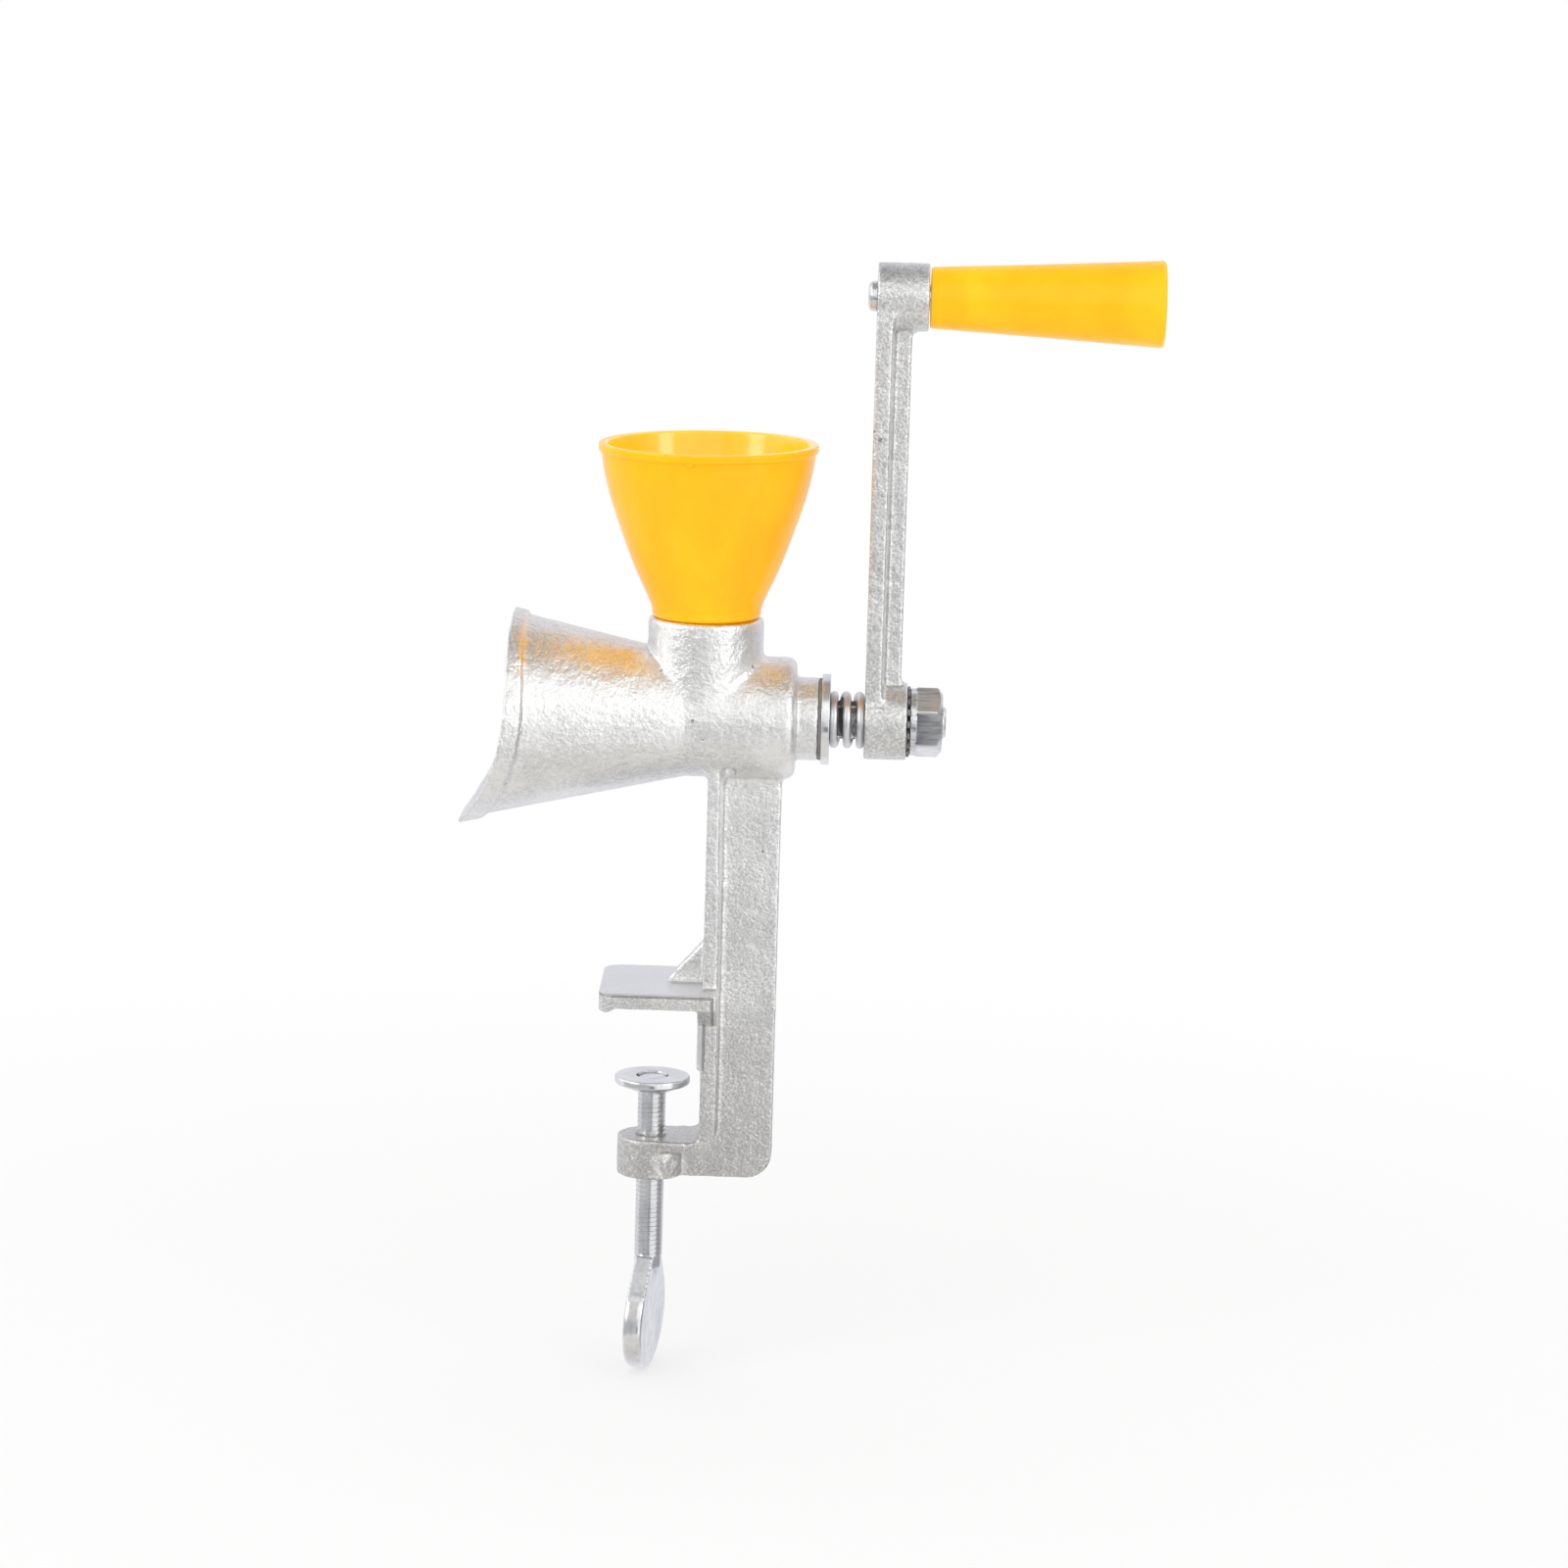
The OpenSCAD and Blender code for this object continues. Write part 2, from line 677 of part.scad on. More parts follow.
module spring_tube(x) {
    rings = [for (i = [0 : spring_last])
        let (a = i * 360 / spring_rings)
        let (centre = [x + spring_rise * i / spring_last, spring_mean_r * cos(a), spring_mean_r * sin(a)])
        let (out = [0, cos(a), sin(a)])
        let (run = [spring_rise / spring_last * spring_rings / (2 * PI), -spring_mean_r * sin(a),
            spring_mean_r * cos(a)])
        let (side = cross(run, out) / norm(cross(run, out)))
        [for (k = [0 : spring_sides - 1])
            let (b = (k + 0.5) * 360 / spring_sides)
            centre + spring_wire / 2 * (out * cos(b) + side * sin(b))]];
    gaps = [for (i = [0 : spring_last])
        for (j = [i + spring_rings / 2 : 1 : spring_last])
            for (p = rings[i])
                for (q = rings[j]) norm(p - q)];
    echo("Least gap of the spring's wire to itself", min(gaps));
    sides = [for (i = [0 : spring_last - 1])
        for (k = [0 : spring_sides - 1])
            let (a = i * spring_sides + k)
            let (b = i * spring_sides + (k + 1) % spring_sides)
            for (face = [[a, b, a + spring_sides], [b, b + spring_sides, a + spring_sides]]) face];
    start = [for (k = [1 : spring_sides - 2]) [0, k + 1, k]];
    last = spring_last * spring_sides;
    finish = [for (k = [1 : spring_sides - 2]) [last, last + k, last + k + 1]];
    polyhedron(points = [for (ring = rings) for (p = ring) p], faces = concat(sides, start, finish));
}

module compression_spring() {
    color("silver")
        translate([0, 0, shaft_z]) spring_tube(washer_end_x + spring_wire / 2 + spring_seat_gap);
}

module crank_arm() {
    color("gainsboro")
        difference() {
            union() {
                along_shaft(hub_x) cylinder(d = hub_d, h = hub_len);
                translate([hub_x, 0, arm_top_z]) rotate([0, 90, 0]) cylinder(d = boss_d, h = boss_len);
                translate([hub_x, -bar_w / 2, shaft_z]) cube([bar_t, bar_w, arm_len]);
                translate([hub_x, -rib_t / 2, shaft_z]) cube([bar_t + rib_depth, rib_t, arm_len]);
            }
            along_shaft(hub_x - cut)
                linear_extrude(height = hub_len + 2 * cut)
                    flatted(shaft_d + 2 * shaft_gap, shaft_flats + 2 * shaft_gap);
            translate([hub_x - cut, 0, arm_top_z])
                rotate([0, 90, 0]) cylinder(d = spindle_d, h = boss_len + 2 * cut);
        }
}

module lock_washer() {
    color("darkslategray")
        along_shaft(hub_end_x)
            difference() {
                washer(lock_washer_d, shaft_d + 2 * washer_gap, lock_washer_t);
                for (i = [0 : lock_teeth - 1])
                    rotate([0, 0, i * 360 / lock_teeth])
                        translate([lock_washer_d / 2 - lock_tooth_depth, -lock_tooth_depth / 2, -cut])
                            cube([2 * lock_tooth_depth, lock_tooth_depth, lock_washer_t + 2 * cut]);
            }
}

module handle_spindle() {
    head_x = grip_end_x - grip_recess + grip_bore_gap;
    color("silver")
        translate([0, 0, arm_top_z])
            rotate([0, 90, 0]) {
                translate([0, 0, hub_x - rivet_h])
                    cylinder(d1 = spindle_d, d2 = rivet_d, h = rivet_h);
                translate([0, 0, hub_x - rivet_h / 2]) cylinder(d = spindle_d, h = head_x - hub_x + rivet_h);
                translate([0, 0, head_x]) cylinder(d = spindle_head_d, h = spindle_head_h);
            }
}

module handle_grip() {
    inner_r = grip_inner_d / 2;
    outer_r = grip_outer_d / 2;
    color("orange")
        translate([grip_x, 0, arm_top_z])
            rotate([0, 90, 0])
                difference() {
                    rotate_extrude()
                        polygon(concat(
                            [[0, 0]],
                            [for (a = [-90 : round_step : 0])
                                [inner_r - grip_round + grip_round * cos(a),
                                    grip_round + grip_round * sin(a)]],
                            [for (a = [0 : round_step : 90])
                                [outer_r - grip_round + grip_round * cos(a),
                                    grip_len - grip_round + grip_round * sin(a)]],
                            [[0, grip_len]]));
                    translate([0, 0, -cut])
                        cylinder(d = spindle_d + 2 * grip_bore_gap, h = grip_len + 2 * cut);
                    translate([0, 0, grip_len - grip_recess])
                        cylinder(d = spindle_head_d + 2 * recess_gap, h = grip_recess + cut);
                }
}

module adjusting_nut() {
    color("silver")
        along_shaft(lock_end_x)
            difference() {
                hexagon_head(nut_flats, nut_t, nut_chamfer);
                translate([0, 0, -cut]) cylinder(d = shaft_d + 2 * shaft_gap, h = nut_t + 2 * cut);
            }
}

module drive_shaft() {
    flats_start = hub_x - flats_margin;
    flats_end = hub_end_x + flats_margin;
    color("silver")
        difference() {
            union() {
                along_shaft(cone_x) cylinder(d = journal_d, h = journal_end_x - cone_x);
                along_shaft(shaft_front_x)
                    linear_extrude(height = cone_x - shaft_front_x) flatted(journal_d, cone_flats);
                along_shaft(journal_end_x) cylinder(d = shaft_d, h = flats_start - journal_end_x);
                along_shaft(flats_start)
                    linear_extrude(height = flats_end - flats_start) flatted(shaft_d, shaft_flats);
                along_shaft(flats_end) cylinder(d = shaft_d, h = shaft_end_x - flats_end - shaft_chamfer);
                along_shaft(shaft_end_x - shaft_chamfer)
                    cylinder(d1 = shaft_d, d2 = shaft_d - 2 * shaft_chamfer, h = shaft_chamfer);
            }
            along_shaft(shaft_front_x - cut) cylinder(d = cone_screw_d, h = cone_screw_len + cut);
            translate([pin_x, 0, shaft_z]) cylinder(d = pin_d, h = 2 * journal_d, center = true);
        }
}

module feed_auger() {
    length = auger_end_x - cone_x;
    flight_r = barrel_bore / 2 - auger_gap;
    color("dimgray")
        difference() {
            union() {
                along_shaft(cone_x) cylinder(d = auger_core_d, h = length);
                along_shaft(cone_x)
                    linear_extrude(
                        height = length, twist = -360 * length / auger_pitch, slices = auger_slices)
                        intersection() {
                            circle(r = flight_r, $fn = auger_sides);
                            translate([0, -auger_flight_t]) square([flight_r, 2 * auger_flight_t]);
                        }
            }
            along_shaft(cone_x - cut) cylinder(d = journal_d, h = length + 2 * cut);
            translate([pin_x, 0, shaft_z]) cylinder(d = pin_d, h = 2 * barrel_bore, center = true);
        }
}

module drive_pin() {
    color("silver")
        translate([pin_x, 0, shaft_z]) cylinder(d = pin_d, h = auger_core_d - 2 * pin_inset, center = true);
}

module burr_cone() {
    cone_len = cone_x - cone_front_x;
    color("dimgray")
        difference() {
            along_shaft(cone_front_x)
                cylinder(r1 = ring_r(cone_front_x) - burr_gap, r2 = ring_r(cone_x) - burr_gap, h = cone_len);
            along_shaft(cone_front_x - cut)
                linear_extrude(height = cone_len + 2 * cut) flatted(journal_d, cone_flats);
            for (i = [0 : cone_grooves - 1])
                translate([cone_x, 0, shaft_z])
                    rotate([(i + 0.5) * 360 / cone_grooves, 0, 0])
                        translate([0, 0, ring_r(cone_x) - burr_gap])
                            rotate([0, burr_angle, 0])
                                translate([-2 * cone_len, -cone_groove_w / 2, -cone_groove_depth])
                                    cube([3 * cone_len, cone_groove_w, 2 * cone_groove_depth]);
        }
}

module cone_washer() {
    color("silver")
        along_shaft(cone_washer_x) washer(cone_washer_d, cone_screw_d + 2 * cone_washer_gap, cone_washer_t);
}

module cone_screw() {
    color("silver") {
        along_shaft(cone_washer_x - cone_screw_head)
            hexagon_head(cone_screw_flats, cone_screw_head, cone_screw_chamfer);
        along_shaft(cone_washer_x - cut)
            cylinder(d = cone_screw_d, h = cone_screw_len + cone_washer_x - shaft_front_x);
    }
}

// Outline of a round bar with ring grooves at the thread's pitch, from z = 0 up
module thread_outline(d, pitch, depth, length) {
    crests = floor(length / pitch);
    spare = length - crests * pitch;
    polygon(concat(
        [[0, 0]],
        [for (i = [0 : crests - 1])
            for (p = [[d / 2 - depth, i * pitch], [d / 2, (i + 0.4) * pitch], [d / 2, (i + 0.6) * pitch]]) p],
        [[d / 2 - depth, crests * pitch], [d / 2 - depth, crests * pitch + spare], [0, length]]));
}

module clamp_screw() {
    color("silver") {
        translate([0, 0, wing_top_z])
            rotate_extrude()
                thread_outline(screw_d, screw_pitch, screw_depth, pad_bottom_z - pad_gap - wing_top_z);
        translate([0, 0, pad_bottom_z - screw_pitch])
            cylinder(d = tip_d, h = pad_t + screw_pitch - tip_recess);
        translate([0, 0, pad_top_z - tip_recess + pad_gap])
            cylinder(d1 = tip_head_d, d2 = tip_head_d - 2 * pad_gap, h = tip_head_h);
        translate([0, 0, pad_top_z - tip_recess - cut])
            cylinder(d = tip_d, h = cut + 2 * pad_gap);
        translate([0, 0, wing_top_z])
            rotate([0, wing_lean, 0]) rotate([0, 0, 90 - wing_turn])
                translate([0, 0, wing_centre_z - wing_top_z]) rotate([90, 0, 0]) {
                    translate([0, 0, -wing_t / 2])
                        rotate_extrude() {
                            square([wing_r - wing_t / 2, wing_t]);
                            translate([wing_r - wing_t / 2, wing_t / 2]) circle(d = wing_t);
                        }
                    linear_extrude(height = wing_t, center = true)
                        polygon([
                            [-wing_neck_w / 2, wing_top_z - wing_centre_z + wing_sink],
                            [wing_neck_w / 2, wing_top_z - wing_centre_z + wing_sink],
                            [wing_r * cos(wing_shoulder_angle), wing_r * sin(wing_shoulder_angle)],
                            [-wing_r * cos(wing_shoulder_angle), wing_r * sin(wing_shoulder_angle)]]);
                }
    }
}

module clamp_pad() {
    color("silver")
        translate([0, 0, pad_bottom_z])
            difference() {
                cylinder(d = pad_d, h = pad_t);
                translate([0, 0, -cut]) cylinder(d = tip_d + 2 * pad_gap, h = pad_t + 2 * cut);
                translate([0, 0, pad_t - tip_recess])
                    cylinder(d = tip_head_d + 4 * pad_gap, h = tip_recess + cut);
            }
}

body_casting();
burr_ring();
neck_seal();
hopper();
neck_washer();
compression_spring();
crank_arm();
lock_washer();
handle_spindle();
handle_grip();
adjusting_nut();
drive_shaft();
feed_auger();
burr_cone();
drive_pin();
cone_washer();
cone_screw();
clamp_screw();
clamp_pad();
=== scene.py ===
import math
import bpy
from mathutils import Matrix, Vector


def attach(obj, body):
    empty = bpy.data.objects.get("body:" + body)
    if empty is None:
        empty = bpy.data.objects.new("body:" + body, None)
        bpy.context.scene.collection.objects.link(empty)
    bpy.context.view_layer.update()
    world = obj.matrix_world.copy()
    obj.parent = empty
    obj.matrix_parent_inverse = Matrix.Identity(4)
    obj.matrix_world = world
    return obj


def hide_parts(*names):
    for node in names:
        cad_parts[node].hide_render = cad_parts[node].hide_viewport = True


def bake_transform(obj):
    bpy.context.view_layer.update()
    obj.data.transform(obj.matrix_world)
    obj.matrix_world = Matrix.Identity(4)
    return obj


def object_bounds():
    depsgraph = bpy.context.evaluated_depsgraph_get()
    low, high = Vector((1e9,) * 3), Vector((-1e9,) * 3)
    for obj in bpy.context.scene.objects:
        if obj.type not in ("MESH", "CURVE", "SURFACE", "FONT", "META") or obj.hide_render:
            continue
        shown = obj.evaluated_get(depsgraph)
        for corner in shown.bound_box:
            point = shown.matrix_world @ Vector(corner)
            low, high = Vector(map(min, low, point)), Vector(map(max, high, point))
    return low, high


bl_info = {
    "name": "Hand Crank Grinder",
    "version": (1, 0, 0),
    "blender": (4, 5, 0),
    "location": "View3D > Sidebar > Grinder",
    "description": "Dresses the packed grinder in cast, plated and moulded pieces",
    "category": "Add Mesh",
}

from contextlib import contextmanager

import bmesh
import bpy
from mathutils import Matrix, Quaternion, Vector

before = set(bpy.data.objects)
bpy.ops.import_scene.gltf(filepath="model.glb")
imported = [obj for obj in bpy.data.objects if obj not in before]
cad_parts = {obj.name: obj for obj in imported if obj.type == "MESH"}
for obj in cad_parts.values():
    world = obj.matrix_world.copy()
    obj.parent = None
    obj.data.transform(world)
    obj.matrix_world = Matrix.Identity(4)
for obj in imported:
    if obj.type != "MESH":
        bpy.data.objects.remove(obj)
CAD_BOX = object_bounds()

# Metres: one millimetre, the shaft's and the grip's height, the hopper's axis and shoulder
MM = 0.001
SHAFT_Z = 0.0604
ARM_Z = 0.1494
HOPPER_X = 0.0090
HOPPER_BASE = SHAFT_Z + 0.0210

# Millimetres: round forms of the cast body, and half the width of what cuts across it
BARREL_RADIUS = 12.8
COLLAR_RADIUS = 12.1
COLLAR_TOP = 81.4
CUTTER_HALF = 16

# Millimetres: the bore of what slides on the shaft, and where each piece starts and ends along it
BORE = 4.15
SEAL_START, SEAL_END = 33.05, 33.62
WASHER_START, WASHER_END = 33.64, 35.4
HUB_START = 42.65
TEETH_START, TEETH_END = 51.52, 52.15
NUT_START, NUT_END = 52.2, 58.95

# Millimetres: where the faces of the crank's bar and rib lie, half their widths, and its round ends
BAR_FACE, BAR_HALF = 46.05, 6.6
RIB_FACE, RIB_HALF = 50.05, 1.9
BOSS_RADIUS, HUB_RADIUS = 7.05, 8.1

# Millimetres: the neck and the thumb plate under the clamp screw's rod
NECK_TOP, NECK_LENGTH = -56.6, 2.7
PLATE_RADIUS = 11.1
PLATE_CENTRE = NECK_TOP - NECK_LENGTH - PLATE_RADIUS

WHITE_METAL = (0.98, 0.98, 0.98)


# Sizes and colours

class GrinderSizes(bpy.types.PropertyGroup):
    """Sizes that a user would change"""
    cast_voxel: bpy.props.FloatProperty(
        name="Casting detail", description="Grid size on which the cast body is blended",
        default=0.0004, min=0.0002, unit="LENGTH")
    arm_voxel: bpy.props.FloatProperty(
        name="Arm detail", description="Grid size on which the cast arm is blended",
        default=0.0003, min=0.0002, unit="LENGTH")
    wire: bpy.props.FloatProperty(
        name="Spring wire", description="Diameter of the spring's wire",
        default=0.0017, min=0.001, unit="LENGTH")
    spring_across: bpy.props.FloatProperty(
        name="Spring diameter", description="Outside diameter of the spring",
        default=0.012, min=0.01, unit="LENGTH")
    lens: bpy.props.FloatProperty(
        name="Lens", description="Focal length of the camera in millimetres",
        default=122.2, min=50)


class GrinderColours(bpy.types.PropertyGroup):
    """Colours that a user would change"""
    plastic: bpy.props.FloatVectorProperty(
        name="Plastic", description="Colour of the hopper and the grip",
        default=(1.0, 0.49, 0.004), size=3, min=0, max=1, subtype="COLOR")
    aluminium: bpy.props.FloatVectorProperty(
        name="Aluminium", description="Colour of the cast pieces",
        default=(0.90, 0.90, 0.895), size=3, min=0, max=1, subtype="COLOR")
    zinc: bpy.props.FloatVectorProperty(
        name="Zinc", description="Colour of the plated steel pieces",
        default=(0.80, 0.81, 0.84), size=3, min=0, max=1, subtype="COLOR")
    floor: bpy.props.FloatVectorProperty(
        name="Floor", description="Colour of the floor",
        default=(0.92, 0.92, 0.92), size=3, min=0, max=1, subtype="COLOR")


# Shader maths

class Term:
    """A shader socket that takes part in plain arithmetic."""

    def __init__(self, nodes, socket):
        self.nodes = nodes
        self.socket = socket

    def maths(self, operation, *values):
        return self.nodes.node("ShaderNodeMath", {"operation": operation}, dict(enumerate(values)))

    def __add__(self, other):
        return self.maths("ADD", self, other)

    def __radd__(self, other):
        return self.maths("ADD", other, self)

    def __sub__(self, other):
        return self.maths("SUBTRACT", self, other)

    def __rsub__(self, other):
        return self.maths("SUBTRACT", other, self)

    def __neg__(self):
        return 0 - self

    def __mul__(self, other):
        return self.maths("MULTIPLY", self, other)

    def __truediv__(self, other):
        return self.maths("DIVIDE", self, other)

    def __pow__(self, other):
        return self.maths("POWER", self, other)

    def larger(self, other):
        return self.maths("MAXIMUM", self, other)

    def between(self, low, high):
        """0 at low, 1 at high and a soft step between them."""
        return self.nodes.node(
            "ShaderNodeMapRange", {"interpolation_type": "SMOOTHSTEP"},
            {"Value": self, "From Min": low, "From Max": high})

    def within(self, low, high, edge):
        """1 from low to high, fading to 0 over edge on both sides."""
        return self.between(low - edge, low) * (1 - self.between(high, high + edge))


class Nodes:
    """A node tree that is built by plain calls."""

    def __init__(self, tree):
        self.tree = tree
        self.tree.nodes.clear()

    def node(self, kind, settings=None, sockets=None, output=0):
        """Adds a node with its settings and inputs, and gives one of its outputs."""
        node = self.tree.nodes.new(kind)
        for key, value in (settings or {}).items():
            setattr(node, key, value)
        for key, value in (sockets or {}).items():
            self.feed(node.inputs[key], value)
        return Term(self, node.outputs[output])

    def feed(self, socket, value):
        """Links a term to a socket, or sets the socket's own number or colour."""
        if isinstance(value, Term):
            self.tree.links.new(value.socket, socket)
        elif hasattr(socket.default_value, "__len__") and len(socket.default_value) == 4:
            socket.default_value = (*value[:3], 1)
        else:
            socket.default_value = value

    def axes(self, vector):
        """The x, y and z of a vector."""
        parts = self.node("ShaderNodeSeparateXYZ", None, {0: vector}).socket.node
        return [Term(self, part) for part in parts.outputs]

    def mix(self, share, first, second):
        """First colour where share is 0, second where it is 1."""
        return self.node("ShaderNodeMix", {"data_type": "RGBA"}, {0: share, 6: first, 7: second}, output=2)

    def layers(self, tone, *coats):
        """A tone with coats over it, each a (share, colour) on what lies below."""
        for share, colour in coats:
            tone = self.mix(share, tone, colour)
        return tone

    def rays(self):
        """1 for rays straight from the camera, and 1 for rays that a mirror or glass has sent on."""
        straight, mirrored, bent = (
            self.node("ShaderNodeLightPath", output=name)
            for name in ("Is Camera Ray", "Is Glossy Ray", "Is Transmission Ray"))
        return straight, mirrored + bent


class Finish(Nodes):
    """The nodes of one material, with its shader and the object's coordinates."""

    def __init__(self, name, **constants):
        self.material = bpy.data.materials.new(name)
        self.material.use_nodes = True
        super().__init__(self.material.node_tree)
        self.output = self.tree.nodes.new("ShaderNodeOutputMaterial")
        self.shader = self.tree.nodes.new("ShaderNodeBsdfPrincipled")
        self.tree.links.new(self.shader.outputs[0], self.output.inputs[0])
        self.paint(**constants)
        self.place = self.node("ShaderNodeTexCoord", output="Object")

    def stretched(self, scale):
        """The object's coordinates with each axis scaled."""
        return self.node(
            "ShaderNodeVectorMath", {"operation": "MULTIPLY"}, {0: self.place, 1: scale}, output="Vector")

    def noise(self, size, detail=2, roughness=0.5, place=None, distortion=0):
        """Clouds whose lumps are about size metres across."""
        return self.node("ShaderNodeTexNoise", None, {
            "Vector": place or self.place, "Scale": 1 / size, "Detail": detail, "Roughness": roughness,
            "Distortion": distortion})

    def cells(self, size):
        """Distance to scattered points about size metres apart, as a share of size."""
        return self.node(
            "ShaderNodeTexVoronoi", None, {"Vector": self.place, "Scale": 1 / size}, output="Distance")

    def edges(self):
        """1 on outer edges that wear, 0 on flat and hollow places."""
        return self.node("ShaderNodeNewGeometry", output="Pointiness").between(0.51, 0.57)

    def hollows(self):
        """1 in creases, 0 elsewhere; a colour darkened with it is painted shade."""
        return 1 - self.node("ShaderNodeNewGeometry", output="Pointiness").between(0.44, 0.49)

    def inside(self, low, high, edge):
        """1 inside a box given in millimetres, fading over edge metres."""
        share = 1
        for part, start, end in zip(self.axes(self.place), low, high):
            share = part.within(start * MM, end * MM, edge) * share
        return share

    def relief(self, height, depth, strength):
        """A bumpy skin: depth is in metres."""
        return self.node("ShaderNodeBump", None, {"Height": height, "Distance": depth, "Strength": strength})

    def paint(self, **values):
        """Sets or feeds the shader's sockets, and gives the material."""
        for socket, value in values.items():
            self.feed(self.shader.inputs[socket.replace("_", " ")], value)
        return self.material


def shade(colour, factor):
    return tuple(channel * factor for channel in colour[:3])


def machined_places(finish):
    """The clamp's smooth faces, and thin strips beside them where the cast skin stops, which get painted
    shadow.
    """
    jaw_top = finish.inside((-12, -15, 3.1), (9.8, 15, 3.6), 0.0002)
    post_front = finish.inside((9, -8.6, -14.4), (10.6, 8.6, -0.6), 0.0002)
    shaded_grooves = 0
    for low, high, edge in (
            ((-11.6, -15, 2.62), (12.5, -14.2, 2.9), 0.00015),
            ((-11.6, -14.3, 2.62), (-7.5, -10.6, 2.9), 0.00015),
            ((12.5, -15, -4.4), (12.8, -8.2, 2.7), 0.00015),
            ((10.7, -8.6, -14.2), (11.0, -7.4, -1), 0.0002)):
        shaded_grooves = finish.inside(low, high, edge).larger(shaded_grooves)
    return jaw_top.larger(post_front), shaded_grooves * 0.75


def cast_aluminium(name="cast aluminium", dull=1.0, sandy_all_over=False):
    """Bright sand-cast aluminium with grain, specks, pits and scuffs, painted shade that darkens and browns
    it towards the clamp, and painted shade in creases and in thin strips by the machined faces.
    """
    finish = Finish(name, Metallic=1.0)
    colour = shade(bpy.context.scene.grinder_colours.aluminium, dull)
    smooth, shaded_grooves = machined_places(finish)
    rough = 1 - smooth
    below = -finish.axes(finish.place)[2]
    coarse = finish.noise(0.0013, 3, 0.6)
    grain = finish.noise(0.0006, 2, 0.55)
    fine = finish.noise(0.0005, 2, 0.5)
    swell = finish.noise(0.0045, 3, 0.5)
    patches = finish.noise(0.012, 3, 0.6)
    strength = finish.noise(0.010, 2, 0.5).between(0.34, 0.62)
    pits = (1 - finish.cells(0.0042).between(0.05, 0.12)) * finish.noise(0.011, 1, 0.5).between(0.50, 0.58)
    scuffs = finish.noise(0.0021, 2, 0.6, finish.stretched((0.35, 1, 1.6)), 1.2).between(0.66, 0.72)
    marks = (pits * 0.8 + scuffs * 0.10) * rough
    hollows = finish.hollows()
    # Painted shade: 1 towards the clamp, where the colour is made darker and browner
    low_painted_shade = below.between(-0.030, 0.050)
    mottle = coarse * 0.4 + grain * 0.6
    sandy = 1.0 if sandy_all_over else below.between(-0.046, -0.034) * rough
    tone = finish.layers(
        finish.mix(patches.between(0.3, 0.7), shade(colour, 0.93), shade(colour, 1.07)),
        # Painted shade, darker and browner towards the clamp
        (low_painted_shade * 0.75, (0.53, 0.515, 0.495)),
        (mottle.between(0.54, 0.38) * (0.15 + strength * 0.15 + low_painted_shade * 0.08) * rough, shade(colour, 0.5)),
        (grain.between(0.58, 0.67) * (0.75 - low_painted_shade * 0.35) * rough, WHITE_METAL),
        (fine.between(0.52, 0.38) * 0.34 * sandy, shade(colour, 0.45)),
        (fine.between(0.58, 0.66) * 0.6 * sandy, WHITE_METAL),
        # Painted shade in creases
        (hollows * 0.5, shade(colour, 0.42)),
        (marks, shade(colour, 0.38)),
        (smooth * 0.6, (0.86, 0.855, 0.89)),
        # Painted shadow in the thin strips by the machined faces
        (shaded_grooves, shade(colour, 0.34)))
    skin = (coarse * (0.68 - sandy * 0.3) + grain * 0.40) * (0.6 + strength * 0.4) * (1 - smooth * 0.85)
    return finish.paint(
        Base_Color=tone,
        Roughness=0.31 + patches * 0.08 + grain * 0.06 + marks * 0.2 + hollows * 0.2,
        Normal=finish.relief(skin + swell * 0.9 - pits * 0.8 - shaded_grooves * 0.8, 0.00042, 0.9))


def arm_aluminium():
    """The crank's casting, a little greyer and grainier than the body's."""
    return cast_aluminium("cast aluminium of the crank", 0.90, True)


def zinc_plate(name="zinc plate", along=(1, 1, 0.12), streak=0.15):
    """Bright zinc over steel: soft cloudiness, fine wipes along one axis and duller worn edges."""
    finish = Finish(name, Metallic=1.0)
    colour = bpy.context.scene.grinder_colours.zinc
    clouds = finish.noise(0.005, 3, 0.55)
    speckle = finish.noise(0.0004, 2, 0.5)
    wipes = finish.noise(0.0007, 2, 0.5, finish.stretched(along))
    edges = finish.edges()
    tone = finish.layers(
        finish.mix(clouds.between(0.35, 0.65), shade(colour, 0.90), (0.86, 0.865, 0.87)),
        (wipes.between(0.5, 0.66) * streak, shade(colour, 0.5)),
        (edges * 0.4, (0.60, 0.60, 0.61)))
    return finish.paint(
        Base_Color=tone,
        Roughness=0.11 + clouds * 0.10 + wipes * 0.06 + edges * 0.08,
        Normal=finish.relief(speckle * 0.4 + wipes * 0.6, 0.00003, 0.5))


def hexagon_zinc():
    """Zinc over a rolled hexagon bar, with the bar's drawing marks along it."""
    return zinc_plate("zinc on hexagon bar", (0.1, 1, 1.4), 0.75)


def spring_wire():
    """Bright drawn wire with lengthwise drawing marks and a trace of oil haze."""
    finish = Finish("spring wire", Metallic=1.0)
    haze = finish.noise(0.003, 2, 0.5)
    marks = finish.noise(0.0003, 2, 0.6, finish.stretched((1, 0.2, 0.2)))
    return finish.paint(
        Base_Color=finish.mix(haze.between(0.35, 0.7), (0.70, 0.70, 0.72), (0.80, 0.80, 0.81)),
        Roughness=0.26 + haze * 0.14,
        Normal=finish.relief(marks, 0.00002, 0.4))


def phosphated_steel():
    """Dark phosphated steel, bright where its teeth have rubbed."""
    finish = Finish("phosphated steel", Metallic=0.9)
    crystals = finish.noise(0.0003, 3, 0.6)
    patches = finish.noise(0.003, 2, 0.5)
    edges = finish.edges()
    tone = finish.layers(
        finish.mix(patches.between(0.3, 0.7), (0.09, 0.09, 0.095), (0.17, 0.17, 0.175)),
        (edges * 0.6, (0.5, 0.5, 0.5)))
    return finish.paint(
        Base_Color=tone,
        Roughness=0.48 - edges * 0.15 + crystals * 0.1,
        Normal=finish.relief(crystals, 0.00004, 0.6))


